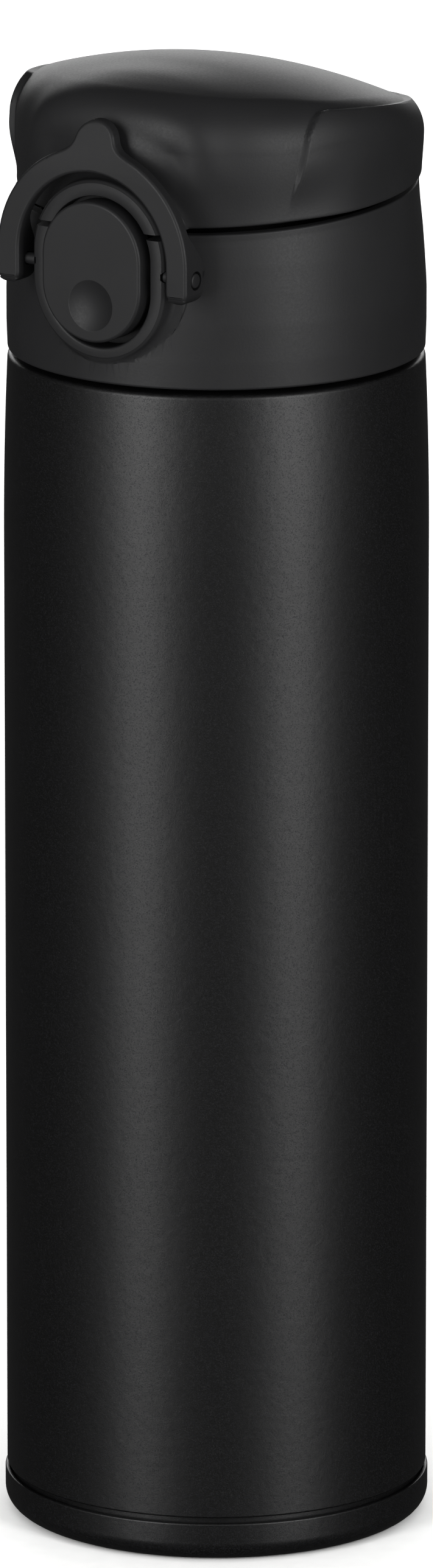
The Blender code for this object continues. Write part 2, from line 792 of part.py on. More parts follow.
def button_plate():
    """The button's slot-shaped plate, with a softened face edge."""
    outline = stadium(BUTTON_R, BUTTON_UPPER_Z, BUTTON_LOWER_Z)
    bm = prism(outline, "Y", BUTTON_FACE_Y, BUTTON_BACK_Y)
    soften_front(bm, BUTTON_FACE_Y, BUTTON_EDGE, 2)
    return bm


def push_button(mat):
    sphere_r = (DIMPLE_R**2 + DIMPLE_DEPTH**2) / (2 * DIMPLE_DEPTH)
    dimple = bmesh.new()
    centre = Vector((0, BUTTON_FACE_Y - sphere_r + DIMPLE_DEPTH, DIMPLE_Z))
    bmesh.ops.create_uvsphere(
        dimple,
        u_segments=SMALL_ROUND,
        v_segments=SMALL_ROUND,
        radius=sphere_r,
        matrix=Matrix.Translation(centre) @ Matrix.Rotation(math.pi / 2, 4, "X"),
    )
    lug_half = POCKET_R - 2 * MM
    lug = rod(BUTTON_LUG_R, -lug_half, lug_half, (BUTTON_PIN_Y, BUTTON_PIN_Z))
    tooth = box(
        (-LATCH_HALF_WIDTH, BUTTON_BACK_Y - GAP, LATCH_Z + GAP),
        (LATCH_HALF_WIDTH, BUTTON_BACK_Y + LATCH_TOOTH, LATCH_Z + 1.5 * MM),
    )
    bore = rod(
        BUTTON_PIN_R + PIN_PLAY, -POCKET_R, POCKET_R, (BUTTON_PIN_Y, BUTTON_PIN_Z)
    )
    bm = join(button_plate(), lug, tooth)
    bm = cut(bm, dimple, bore)
    return add_object("push_button", bm, mat, (0, BUTTON_PIN_Y, BUTTON_PIN_Z))


def button_pin(mat):
    end = button_pin_end()
    bm = rod(BUTTON_PIN_R, -end, end, (BUTTON_PIN_Y, BUTTON_PIN_Z))
    return add_object("button_pin", bm, mat)


def coil_points(radius, turns, start, end, per_turn=10):
    """Points of a round coil whose axis runs along X, about the origin."""
    count = int(turns * per_turn)
    points = []
    for i in range(count + 1):
        angle = 2 * math.pi * i / per_turn
        along = start + (end - start) * i / count
        points.append(Vector((along, radius * math.cos(angle), radius * math.sin(angle))))
    return points


def add_wire(name, points, wire_r, mat):
    """A round wire through points, closed at both ends."""
    curve = bpy.data.curves.new(name, "CURVE")
    curve.dimensions = "3D"
    curve.bevel_depth = wire_r
    curve.bevel_resolution = 1
    curve.use_fill_caps = True
    spline = curve.splines.new("POLY")
    spline.points.add(len(points) - 1)
    for slot, point in zip(spline.points, points):
        slot.co = (*point, 1.0)
    curve.materials.append(mat)
    obj = bpy.data.objects.new(name, curve)
    bpy.context.collection.objects.link(obj)
    return obj


def button_spring(mat):
    wire_r = 0.25 * MM
    seat_z = DIMPLE_Z - 1.5 * MM
    front = BUTTON_BACK_Y + GAP + wire_r
    back = POCKET_FLOOR_Y - GAP - wire_r
    points = [
        Vector((p.y, p.x, p.z + seat_z))
        for p in coil_points(2.2 * MM, 2.5, front, back)
    ]
    return add_wire("button_spring", points, wire_r, mat)


def tab_outline():
    """The ring's outer edge: round, with a finger tab that runs out of the top in two curves."""
    root_angle = math.degrees(math.asin(TAB_ROOT_WIDTH / 2 / RING_OUTER_R)) + 8
    right = arc((0, RING_CENTRE_Z), RING_OUTER_R, 0, 90 - root_angle, 8)
    tip_z = TAB_TIP_Z - TAB_TIP_R
    tip = arc((0, tip_z), TAB_TIP_R, 15, 90, 4)
    root = right[-1]
    waist = ((root[0] + tip[0][0]) / 2 - 0.6 * MM, (root[1] + tip[0][1]) / 2)
    half = right + [waist] + tip
    return half + [(-x, z) for x, z in reversed(half[:-1])]


def ring_depths():
    """The ring seen from its side, in Y and Z: deep round the pins, thin above, tab leaning back."""
    face_y = RING_FACE_Y
    limb_y = RING_FACE_Y + RING_LIMB_DEPTH
    corner = RING_FOOT_ROUND
    ahead_y = face_y - 1 * MM
    lean_z = RING_CENTRE_Z + RING_OUTER_R - 2 * MM
    tip_z = TAB_TIP_Z + 1 * MM
    lean = TAB_LEAN * (tip_z - lean_z)
    foot = arc((face_y + corner, RING_FOOT_Z + corner), corner, 180, 270, 3)
    foot += arc((limb_y - corner, RING_FOOT_Z + corner), corner, 270, 360, 3)
    back = [
        (limb_y, RING_CENTRE_Z + 1.0 * MM),
        (RING_BACK_Y, RING_CENTRE_Z + 5.0 * MM),
        (RING_BACK_Y, lean_z),
        (RING_BACK_Y + lean, tip_z),
    ]
    front = [(face_y + lean, tip_z), (face_y, lean_z), (ahead_y, lean_z)]
    return foot + back + front + [(ahead_y, RING_FOOT_Z + corner)]


def lock_ring(mat):
    inner = arc((0, RING_CENTRE_Z), RING_INNER_R, 180, 0, 16)
    foot_r = RING_WIDTH / 2
    foot_x = RING_INNER_R + foot_r
    right_foot = arc((foot_x, RING_FOOT_Z + foot_r), foot_r, 180, 360, 6)
    left_foot = arc((-foot_x, RING_FOOT_Z + foot_r), foot_r, 180, 360, 6)
    outline = tab_outline() + left_foot + inner + right_foot
    bm = prism(outline, "Y", RING_FACE_Y, RING_FACE_Y + RING_LIMB_DEPTH + 1 * MM)
    soften_front(bm, RING_FACE_Y, RING_EDGE, 1)
    width = RING_OUTER_R + 1 * MM
    bm = combine(bm, prism(ring_depths(), "X", -width, width), "INTERSECT")
    holes = []
    for side in (-1, 1):
        bore = sorted((side * (RING_INNER_R - 1 * MM), side * width))
        recess = sorted((side * (RING_OUTER_R - RING_HEAD_DEPTH), side * width))
        centre = (RING_PIN_Y, RING_PIN_Z)
        holes.append(rod(RING_PIN_R + PIN_PLAY, *bore, centre))
        holes.append(rod(RING_PIN_HEAD_R + GAP, *recess, centre))
    return add_object("lock_ring", cut(bm, *holes), mat, (0, *centre))


def ring_pin(name, side, mat):
    """A pin with a domed head, from the head's side into the bezel."""
    head = RING_OUTER_R - RING_HEAD_DEPTH + 0.2 * MM
    dome = [
        (RING_PIN_HEAD_R, head),
        (RING_PIN_HEAD_R, head + 0.3 * MM),
        (RING_PIN_HEAD_R * 0.75, head + 0.6 * MM),
        (0, head + 0.75 * MM),
    ]
    profile = [(0, ring_pin_start()), (RING_PIN_R, ring_pin_start())]
    profile += [(RING_PIN_R, head)] + dome
    bm = turned(profile, False, SMALL_ROUND)
    turn = Matrix.Rotation(side * math.pi / 2, 4, "Y")
    bm.transform(Matrix.Translation((0, RING_PIN_Y, RING_PIN_Z)) @ turn)
    return add_object(name, bm, mat)


# ---------------------------------------------------------------- lid


def crown_z(x, y):
    """Height of the lid's domed top. It peaks forward of the middle and falls to the hinge."""
    along = (y - CROWN_Y) ** 2 / (2 * CROWN_RADIUS_Y)
    across = x**2 / (2 * CROWN_RADIUS_X)
    return LID_CROWN_Z - along - across


def smooth_step(value, low, high):
    part = min(1.0, max(0.0, (value - low) / (high - low)))
    return part * part * (3 - 2 * part)


def lid_column(angle, wall_r, drop, inset):
    """One meridian of the lid's surface, from under the parting plane up over the crown.

    The front has a wide fillet and the cheeks on both sides a tight one. The inner
    surface is the same shape with its wall, crown and fillets brought in.
    """
    ahead = abs(angle)
    cheek = smooth_step(ahead, CHEEK_FROM, CHEEK_TO)
    radius = wall_r + CHEEK_PROUD * cheek * (inset == 0)
    fillet = FRONT_FILLET + (CHEEK_FILLET - FRONT_FILLET) * cheek - inset
    fillet = max(fillet, 1.0 * MM)
    heading = (math.sin(angle), -math.cos(angle))

    def place(r, z):
        return (r * heading[0], r * heading[1], z)

    def top(r):
        return crown_z(r * heading[0], r * heading[1]) - drop

    foot = parting(radius * heading[1]) - PARTING_GAP
    spring_z = top(radius - fillet * 0.3) - fillet
    column = [place(radius, foot), place(radius, (foot + spring_z) / 2)]
    for step in range(6):
        turn = math.pi / 2 * step / 5
        r = radius - fillet * (1 - math.cos(turn))
        column.append(place(r, spring_z + (top(r) - spring_z) * math.sin(turn)))
    last = radius - fillet
    column += [place(last * part, top(last * part)) for part in (0.8, 0.55, 0.28)]
    return column, place(0, top(0))


def lid_form():
    """The lid as a cup: outer and inner surfaces with a rim just under the parting plane."""
    bm = bmesh.new()
    layers = []
    for wall_r, drop, inset in ((LID_R, 0.0, 0.0), (LID_INNER_R, LID_WALL, LID_WALL)):
        columns = []
        for step in range(ROUND):
            angle = -math.pi + 2 * math.pi * (step + 0.5) / ROUND
            column, pole = lid_column(angle, wall_r, drop, inset)
            columns.append([bm.verts.new(p) for p in column])
        tip = bm.verts.new(pole)
        for left, right in zip(columns, columns[1:] + columns[:1]):
            for low in range(len(left) - 1):
                bm.faces.new((left[low], right[low], right[low + 1], left[low + 1]))
            bm.faces.new((left[-1], right[-1], tip))
        layers.append(columns)
    outer, inner = layers
    pairs = zip(outer, outer[1:] + outer[:1], inner, inner[1:] + inner[:1])
    for a, b, c, d in pairs:
        bm.faces.new((a[0], b[0], d[0], c[0]))
    return tidy(bm)


def bezel_arch():
    """The lid's part of the button frame, before the parting plane trims it."""
    outline = stadium(BEZEL_R, BUTTON_UPPER_Z, BUTTON_LOWER_Z)
    return prism(outline, "Y", BEZEL_FACE_Y, -LID_INNER_R + 0.9 * MM)


def catch():
    """The lid's hook, which hangs down behind the top of the button."""
    front = BUTTON_BACK_Y + LATCH_TOOTH + GAP
    back = POCKET_FLOOR_Y - GAP
    stem = box(
        (-LATCH_HALF_WIDTH, front + LATCH_TOOTH, LATCH_Z - 0.8 * MM),
        (LATCH_HALF_WIDTH, back, LATCH_Z + 4 * MM),
    )
    tooth = box(
        (-LATCH_HALF_WIDTH, front, LATCH_Z - 0.8 * MM),
        (LATCH_HALF_WIDTH, front + LATCH_TOOTH + 0.2 * MM, LATCH_Z),
    )
    return join(stem, tooth)


def cover_room():
    """The notch between the cheeks that the hinge cover and the knuckles fill."""
    half = COVER_HALF_WIDTH + GAP
    low = (-half, COVER_FRONT_Y - GAP, HINGE_Z - 5 * MM)
    high = (half, HINGE_Y + 20 * MM, LID_CROWN_Z)
    return box(low, high)


def knuckle(side):
    """A barrel round the hinge pin and the web that hangs it from the lid's bridge."""
    back_y = HINGE_Y + 1.0 * MM
    front_y = HINGE_Y - KNUCKLE_R
    barrel = arc((HINGE_Y, HINGE_Z), KNUCKLE_R, 180, 360 + 70, 14)
    top_z = BRIDGE_Z + BRIDGE_THICKNESS / 2
    outline = [(front_y, top_z)] + barrel + [(back_y, top_z)]
    ends = sorted((side * KNUCKLE_INNER_X, side * KNUCKLE_OUTER_X))
    return prism(outline, "X", *ends)


def lid_shell(mat):
    bridge_half = COVER_HALF_WIDTH + 2.2 * MM
    bridge = box(
        (-bridge_half, BRIDGE_FRONT_Y, BRIDGE_Z),
        (bridge_half, HINGE_Y - 2.4 * MM, BRIDGE_Z + BRIDGE_THICKNESS),
    )
    rear_half = KNUCKLE_OUTER_X + 0.05 * MM
    rear_bridge = box(
        (-rear_half, COVER_FRONT_Y, BRIDGE_Z + 0.01 * MM),
        (rear_half, HINGE_Y + 0.9 * MM, BRIDGE_Z + BRIDGE_THICKNESS - 0.01 * MM),
    )
    bore = rod(
        HINGE_PIN_R + PIN_PLAY,
        -EAR_OUTER_X,
        EAR_OUTER_X,
        (HINGE_Y, HINGE_Z),
    )
    wall_floor = BUTTON_BACK_Y + 0.5 * MM
    bm = join(lid_form(), bezel_arch())
    bm = cut(bm, parting_block(-1), pocket(wall_floor), cover_room())
    bm = join(bm, catch(), bridge, rear_bridge, knuckle(-1), knuckle(1))
    bm = cut(bm, bore)
    return add_object("lid_shell", bm, mat, (0, HINGE_Y, HINGE_Z))


def hinge_cover(mat):
    """The rear cover over the hinge, with a lip that hangs down behind the web."""
    under_z = BRIDGE_Z + BRIDGE_THICKNESS + GAP
    back_y = HINGE_Y + COVER_OVERHANG
    lip_y = back_y - COVER_LIP
    crest = crown_z(0, COVER_FRONT_Y)
    rear = crown_z(0, back_y) + 0.4 * MM
    outline = [
        (COVER_FRONT_Y, under_z),
        (lip_y, under_z),
        (lip_y, BRIDGE_Z),
        (back_y, BRIDGE_Z),
        (back_y, rear - 2.0 * MM),
        (back_y - 0.6 * MM, rear - 0.6 * MM),
        (back_y - 2.0 * MM, rear),
        (COVER_FRONT_Y, crest),
    ]
    bm = prism(outline, "X", -COVER_HALF_WIDTH, COVER_HALF_WIDTH)
    rims = [
        e
        for e in bm.edges
        if abs(abs(e.verts[0].co.x) - COVER_HALF_WIDTH) < GAP
        and abs(e.verts[0].co.x - e.verts[1].co.x) < GAP
        and min(v.co.z for v in e.verts) > under_z + GAP
    ]
    bmesh.ops.bevel(
        bm,
        geom=rims,
        offset=0.8 * MM,
        offset_type="OFFSET",
        affect="EDGES",
        segments=2,
        profile=0.5,
        material=-1,
    )
    return add_object("hinge_cover", bm, mat, (0, HINGE_Y, HINGE_Z))


def lid_liner(mat):
    cup_top = SPOUT_TOP_Z + GAP + SEAL_HEIGHT + GAP + LINER_WALL
    cup_inner = LINER_CUP_R - LINER_WALL
    flange_top = LINER_FLANGE_Z + LINER_WALL
    profile = [
        (0, cup_top),
        (LINER_CUP_R - 0.6 * MM, cup_top),
        (LINER_CUP_R, cup_top - 0.6 * MM),
        (LINER_CUP_R, flange_top),
        (LINER_R, flange_top),
        (LINER_R, LINER_FLANGE_Z),
        (LINER_CUP_R, LINER_FLANGE_Z),
        (LINER_CUP_R, LINER_SKIRT_Z),
        (cup_inner, LINER_SKIRT_Z),
        (cup_inner, cup_top - LINER_WALL),
        (0, cup_top - LINER_WALL),
    ]
    bm = turned(profile, False)
    return add_object("lid_liner", bm, mat, (0, HINGE_Y, HINGE_Z))


def lid_seal(mat):
    disc_r = SPOUT_R + SEAL_LAP
    plug_r = SPOUT_R - SPOUT_WALL - SEAL_PLUG_PLAY
    disc_z = SPOUT_TOP_Z + GAP
    profile = [
        (0, disc_z - SEAL_PLUG_DEPTH),
        (plug_r - 0.5 * MM, disc_z - SEAL_PLUG_DEPTH),
        (plug_r, disc_z - SEAL_PLUG_DEPTH + 0.5 * MM),
        (plug_r, disc_z),
        (disc_r, disc_z),
        (disc_r, disc_z + SEAL_HEIGHT - 0.4 * MM),
        (disc_r - 0.4 * MM, disc_z + SEAL_HEIGHT),
        (0, disc_z + SEAL_HEIGHT),
    ]
    bm = turned(profile, False)
    return add_object("lid_seal", bm, mat, (0, HINGE_Y, HINGE_Z))


def hinge_pin(mat):
    end = EAR_OUTER_X - 0.2 * MM
    bm = rod(HINGE_PIN_R, -end, end, (HINGE_Y, HINGE_Z))
    return add_object("hinge_pin", bm, mat)


def lid_spring(mat):
    """A torsion spring round the hinge pin, one leg under the bridge, one on the cap."""
    end = KNUCKLE_INNER_X - 2 * LID_SPRING_WIRE_R - GAP
    coil = coil_points(LID_SPRING_R, LID_SPRING_TURNS + 0.25, -end, end)
    axis = Vector((0, HINGE_Y, HINGE_Z))
    lower_leg_z = HINGE_Z - NOTCH_DEPTH + GAP + 2 * LID_SPRING_WIRE_R
    points = [Vector((-end, HINGE_Y + LID_SPRING_R, lower_leg_z))]
    points += [axis + p for p in coil]
    points.append(
        Vector((end, HINGE_Y - 3.0 * MM, BRIDGE_Z - GAP - 2 * LID_SPRING_WIRE_R))
    )
    return add_wire("lid_spring", points, LID_SPRING_WIRE_R, mat)


def main():
    clear_scene()
    black_paint = make_material("black_powder_paint", (0.012, 0.012, 0.013), 0.5, 0.2)
    steel = make_material("polished_steel", (0.6, 0.6, 0.6), 0.2, 1.0)
    foil = make_material("copper_foil", (0.7, 0.42, 0.28), 0.3, 1.0)
    getter_grey = make_material("getter_metal", (0.3, 0.3, 0.3), 0.5, 1.0)
    seal_glass = make_material("sealing_glass", (0.2, 0.25, 0.25), 0.2, 0.0)
    matte = make_material("matte_black_plastic", (0.035, 0.035, 0.037), 0.55, 0.0)
    satin = make_material("satin_black_plastic", (0.03, 0.03, 0.032), 0.4, 0.0)
    inner_plastic = make_material("inner_black_plastic", (0.02, 0.02, 0.02), 0.45, 0.0)
    silicone = make_material("grey_silicone", (0.3, 0.3, 0.3), 0.6, 0.0)

    outer_shell(black_paint)
    base_cup(black_paint)
    inner_vessel(steel)
    radiation_foil(foil)
    outer_bottom(steel)
    vacuum_seal(seal_glass)
    getter(getter_grey)

    cap_base(matte)
    drinking_spout(inner_plastic)
    spout_gasket(silicone)
    hinge_pin(steel)
    lid_spring(steel)
    button_pin(steel)
    button_spring(steel)
    ring_pin("ring_pin_left", -1, matte)
    ring_pin("ring_pin_right", 1, matte)

    lid_pieces = [
        lid_shell(matte),
        hinge_cover(satin),
        lid_liner(inner_plastic),
        lid_seal(silicone),
    ]
    hang_on(add_joint_empty("lid_hinge_axis", (0, HINGE_Y, HINGE_Z)), *lid_pieces)
    ring_axis = add_joint_empty("lock_ring_axis", (0, RING_PIN_Y, RING_PIN_Z))
    hang_on(ring_axis, lock_ring(satin))
    button_axis = add_joint_empty("button_axis", (0, BUTTON_PIN_Y, BUTTON_PIN_Z))
    hang_on(button_axis, push_button(satin))


main()
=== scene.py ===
"""Looks of a slim vacuum flask with a one-push lid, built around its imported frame.

Everything is in metres, +Z up, with the push button facing -Y.
"""

from __future__ import annotations

import json
import logging
import math
from collections.abc import Sequence
from dataclasses import dataclass
from dataclasses import field
from enum import Enum

import bmesh
import bpy
from mathutils import Matrix
from mathutils import Vector

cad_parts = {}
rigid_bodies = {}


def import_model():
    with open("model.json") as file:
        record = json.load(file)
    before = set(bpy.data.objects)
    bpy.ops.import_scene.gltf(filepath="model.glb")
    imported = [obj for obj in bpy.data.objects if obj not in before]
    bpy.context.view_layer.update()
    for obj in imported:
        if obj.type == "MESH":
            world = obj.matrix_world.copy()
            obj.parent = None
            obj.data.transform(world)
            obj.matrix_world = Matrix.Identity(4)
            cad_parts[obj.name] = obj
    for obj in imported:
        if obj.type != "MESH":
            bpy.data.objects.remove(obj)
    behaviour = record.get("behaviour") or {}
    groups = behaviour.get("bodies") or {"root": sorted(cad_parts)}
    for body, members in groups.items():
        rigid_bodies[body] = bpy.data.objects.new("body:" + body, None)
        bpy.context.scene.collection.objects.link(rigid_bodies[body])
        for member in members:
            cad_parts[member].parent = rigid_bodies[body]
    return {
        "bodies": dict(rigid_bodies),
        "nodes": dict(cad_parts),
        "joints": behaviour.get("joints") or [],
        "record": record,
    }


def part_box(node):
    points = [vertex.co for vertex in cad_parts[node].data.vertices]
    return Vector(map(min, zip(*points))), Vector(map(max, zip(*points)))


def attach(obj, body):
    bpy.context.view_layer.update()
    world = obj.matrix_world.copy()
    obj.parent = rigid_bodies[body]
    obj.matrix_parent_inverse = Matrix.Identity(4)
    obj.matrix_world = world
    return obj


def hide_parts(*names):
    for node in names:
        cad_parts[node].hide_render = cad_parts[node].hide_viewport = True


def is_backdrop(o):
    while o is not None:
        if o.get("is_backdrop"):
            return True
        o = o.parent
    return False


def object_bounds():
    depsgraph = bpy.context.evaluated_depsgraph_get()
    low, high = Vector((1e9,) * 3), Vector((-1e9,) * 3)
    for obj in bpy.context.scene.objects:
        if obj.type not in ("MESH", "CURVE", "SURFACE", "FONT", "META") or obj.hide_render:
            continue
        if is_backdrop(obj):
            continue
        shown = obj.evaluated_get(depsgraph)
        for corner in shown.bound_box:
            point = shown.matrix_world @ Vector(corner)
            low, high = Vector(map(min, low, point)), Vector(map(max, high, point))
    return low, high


LOG = logging.getLogger("flask")
MM = 0.001
Point = tuple[float, float]
Corner = tuple[float, float, float]


class Slot(Enum):
    """The record's material slots."""

    PAINT = "powder_paint"
    STEEL = "bare_steel"
    SPRING = "spring_steel"
    MATTE = "matte_plastic"
    SATIN = "satin_plastic"
    INNER = "inner_plastic"
    SILICONE = "silicone"


class Cut(Enum):
    """How one closed shape acts on another."""

    AWAY = "DIFFERENCE"
    ADD = "UNION"
    COMMON = "INTERSECT"


# ---------------------------------------------------------------- outlines


def arc(centre: Point, radius: float, start: float, end: float, steps: int) -> list[Point]:
    """Samples a circle's arc.

    Args:
        centre: Middle of the circle.
        radius: Its radius.
        start: First angle in degrees.
        end: Last angle in degrees.
        steps: Number of chords.

    Returns:
        The arc's points, both ends included.
    """
    turns = [math.radians(start + (end - start) * i / steps) for i in range(steps + 1)]
    return [(centre[0] + radius * math.cos(a), centre[1] + radius * math.sin(a)) for a in turns]


def rounded(corners: Sequence[Corner], chord: float = 15.0) -> list[Point]:
    """Rounds the corners of a closed outline, each by its own radius.

    Args:
        corners: (across, up, radius) for each corner; a radius of 0 stays sharp.
        chord: Largest angle of one chord of a round, in degrees.

    Returns:
        The rounded outline.
    """
    points: list[Point] = []
    for i, (across, up, radius) in enumerate(corners):
        here = Vector((across, up))
        if radius <= 0:
            points.append((across, up))
            continue
        back = Vector(corners[i - 1][:2]) - here
        ahead = Vector(corners[(i + 1) % len(corners)][:2]) - here
        half = back.angle(ahead) / 2
        reach = min(radius / math.tan(half), 0.49 * back.length, 0.49 * ahead.length)
        fit = reach * math.tan(half)
        inward = (back.normalized() + ahead.normalized()).normalized()
        centre = here + inward * (fit / math.sin(half))
        first = here + back.normalized() * reach - centre
        last = here + ahead.normalized() * reach - centre
        sweep = math.atan2(first.x * last.y - first.y * last.x, first.dot(last))
        steps = max(1, round(abs(math.degrees(sweep)) / chord))
        begin = math.degrees(math.atan2(first.y, first.x))
        points += arc(tuple(centre), fit, begin, begin + math.degrees(sweep), steps)
    return points


def spread(start: float, end: float, steps: int) -> list[float]:
    """Returns evenly spaced values from start to end, both included."""
    return [start + (end - start) * i / steps for i in range(steps + 1)]


def smooth_step(value: float, low: float, high: float) -> float:
    """Returns 0 below low, 1 above high and an even ease in between."""
    part = min(1.0, max(0.0, (value - low) / (high - low)))
    return part * part * (3 - 2 * part)


def bump(value: float, middle: float, width: float) -> float:
    """Returns a soft hill of height 1 about the middle."""
    return math.exp(-(((value - middle) / width) ** 2))


def stadium(radius: float, upper: float, lower: float, steps: int = 32) -> list[Point]:
    """Returns an upright slot's outline, round at both ends."""
    top = arc((0.0, upper), radius, 0, 180, steps)
    return top + arc((0.0, lower), radius, 180, 360, steps)


# ---------------------------------------------------------------- solids


def cleaned(bm: bmesh.types.BMesh) -> bmesh.types.BMesh:
    """Merges doubled vertices and points the faces out."""
    bmesh.ops.remove_doubles(bm, verts=bm.verts, dist=0.002 * MM)
    bmesh.ops.dissolve_degenerate(bm, edges=bm.edges, dist=0.002 * MM)
    bmesh.ops.recalc_face_normals(bm, faces=bm.faces)
    return bm


def spun(profile: Sequence[Point], segments: int = 192) -> bmesh.types.BMesh:
    """Turns a closed outline about Z.

    Args:
        profile: (radius, height) points; those on the axis become poles.
        segments: Number of facets round the axis.

    Returns:
        The turned solid.
    """
    bm = bmesh.new()
    verts = [bm.verts.new((r, 0.0, z)) for r, z in profile]
    pairs = zip(verts, verts[1:] + verts[:1])
    edges = [bm.edges.new((a, b)) for a, b in pairs if a.co.x > 0 or b.co.x > 0]
    bmesh.ops.spin(
        bm, geom=verts + edges, cent=(0, 0, 0), axis=(0, 0, 1), angle=2 * math.pi, steps=segments,
        use_merge=True,
    )
    return cleaned(bm)


def helix(section: Sequence[Point], pitch: float, turns: float, per_turn: int) -> bmesh.types.BMesh:
    """Sweeps a closed section along a right-handed screw about Z.

    Args:
        section: (radius, height) points of the section at the start.
        pitch: Rise in one turn.
        turns: Number of turns.
        per_turn: Facets in one turn.

    Returns:
        The swept solid, closed at both ends.
    """
    bm = bmesh.new()
    face = bm.faces.new([bm.verts.new((r, 0.0, z)) for r, z in section])
    steps = round(turns * per_turn)
    bmesh.ops.spin(
        bm,
        geom=face.verts[:] + face.edges[:] + [face],
        cent=(0, 0, 0),
        axis=(0, 0, 1),
        dvec=(0, 0, pitch * turns / steps),
        angle=2 * math.pi * turns,
        steps=steps,
    )
    bmesh.ops.holes_fill(bm, edges=bm.edges, sides=len(section))
    return cleaned(bm)


def prism(outline: Sequence[Point], axis: str, stations: Sequence[float]) -> bmesh.types.BMesh:
    """Extrudes an outline through a row of stations.

    Args:
        outline: (Y, Z) points for axis X, or (X, Z) points for axis Y.
        axis: "X" or "Y".
        stations: Places along the axis where the shape has a ring of edges.

    Returns:
        The extruded solid.
    """
    bm = bmesh.new()
    first = stations[0]
    if axis == "X":
        verts = [bm.verts.new((first, a, b)) for a, b in outline]
    else:
        verts = [bm.verts.new((a, first, b)) for a, b in outline]
    heading = Vector((1, 0, 0)) if axis == "X" else Vector((0, 1, 0))
    front = bm.faces.new(verts)
    for here, there in zip(stations, stations[1:]):
        grown = bmesh.ops.extrude_face_region(bm, geom=[front], use_keep_orig=True)
        if here != first:
            bmesh.ops.delete(bm, geom=[front], context="FACES_ONLY")
        front = next(g for g in grown["geom"] if isinstance(g, bmesh.types.BMFace))
        bmesh.ops.translate(bm, verts=front.verts, vec=heading * (there - here))
    return cleaned(bm)


def block(low: Sequence[float], high: Sequence[float], edge: float = 0.0) -> bmesh.types.BMesh:
    """Makes an upright block, its edges rounded if an edge radius is given."""
    bm = bmesh.new()
    size = Vector(high) - Vector(low)
    middle = (Vector(high) + Vector(low)) / 2
    place = Matrix.Translation(middle) @ Matrix.Diagonal((*size, 1.0))
    bmesh.ops.create_cube(bm, size=1.0, matrix=place)
    if edge > 0:
        soften(bm, bm.edges[:], edge, 3)
    return bm


def rod(radius: float, start: float, end: float, centre: Point, edge: float = 0.0) -> bmesh.types.BMesh:
    """Makes a round rod along X.

    Args:
        radius: Its radius.
        start: X of one end.
        end: X of the other end.
        centre: (Y, Z) of its axis.
        edge: Radius of its end edges.

    Returns:
        The rod as a closed solid.
    """
    bm = bmesh.new()
    turn = Matrix.Rotation(math.pi / 2, 4, "Y")
    place = Matrix.Translation(((start + end) / 2, *centre)) @ turn
    bmesh.ops.create_cone(
        bm, cap_ends=True, segments=48, radius1=radius, radius2=radius, depth=abs(end - start),
        matrix=place,
    )
    if edge > 0:
        rims = [e for e in bm.edges if len(e.link_faces[0].verts) != len(e.link_faces[1].verts)]
        soften(bm, rims, edge, 3)
    return bm


def soften(
    bm: bmesh.types.BMesh, edges: list[bmesh.types.BMEdge], width: float, segments: int,
    clamp: bool = True,
) -> None:
    """Rounds the given edges of a solid in place."""
    bmesh.ops.bevel(
        bm, geom=edges, offset=width, offset_type="OFFSET", affect="EDGES", segments=segments,
        profile=0.5, material=-1, clamp_overlap=clamp,
    )


def as_object(bm: bmesh.types.BMesh, name: str) -> bpy.types.Object:
    """Turns a bmesh into a scene object and frees it."""
    mesh = bpy.data.meshes.new(name)
    bm.to_mesh(mesh)
    bm.free()
    obj = bpy.data.objects.new(name, mesh)
    bpy.context.scene.collection.objects.link(obj)
    return obj


def combined(bm: bmesh.types.BMesh, cut: Cut, *others: bmesh.types.BMesh) -> bmesh.types.BMesh:
    """Applies exact Booleans between closed shapes, one after another.

    Args:
        bm: The shape that is worked on.
        cut: What the others do to it.
        others: The other shapes, which are used up.

    Returns:
        The resulting solid.
    """
    for other in others:
        target, tool = as_object(bm, "target"), as_object(other, "tool")
        modifier = target.modifiers.new("cut", "BOOLEAN")
        modifier.operation = cut.value
        modifier.object = tool
        bm = bmesh.new()
        bm.from_object(target, bpy.context.evaluated_depsgraph_get())
        for obj in (target, tool):
            mesh = obj.data
            bpy.data.objects.remove(obj, do_unlink=True)
            bpy.data.meshes.remove(mesh)
        bmesh.ops.remove_doubles(bm, verts=bm.verts, dist=0.002 * MM)
        bmesh.ops.dissolve_degenerate(bm, edges=bm.edges, dist=0.002 * MM)
    return bm


# ---------------------------------------------------------------- finishes


def linear(hex_colour: str) -> tuple[float, float, float, float]:
    """Turns an sRGB hex colour such as "#383838" into linear RGBA."""
    channels = [int(hex_colour[i : i + 2], 16) / 255 for i in (1, 3, 5)]
    steps = [c / 12.92 if c <= 0.04045 else ((c + 0.055) / 1.055) ** 2.4 for c in channels]
    return (*steps, 1.0)


def link_inputs(
    tree: bpy.types.NodeTree, node: bpy.types.Node, inputs: dict[str | int, object]
) -> None:
    """Links sockets to a node's inputs and sets plain values on them."""
    for key, value in inputs.items():
        if isinstance(value, bpy.types.NodeSocket):
            tree.links.new(value, node.inputs[key])
        else:
            node.inputs[key].default_value = value


def add_node(
    tree: bpy.types.NodeTree, kind: str, settings: dict[str, object] | None = None,
    inputs: dict[str | int, object] | None = None,
) -> bpy.types.Node:
    """Adds a node with its settings and links.

    Args:
        tree: The node tree.
        kind: The node's type name.
        settings: Properties to set on the node.
        inputs: Values for its inputs; an input given as a socket is linked.

    Returns:
        The new node.
    """
    node = tree.nodes.new(kind)
    for key, value in (settings or {}).items():
        setattr(node, key, value)
    link_inputs(tree, node, inputs or {})
    return node


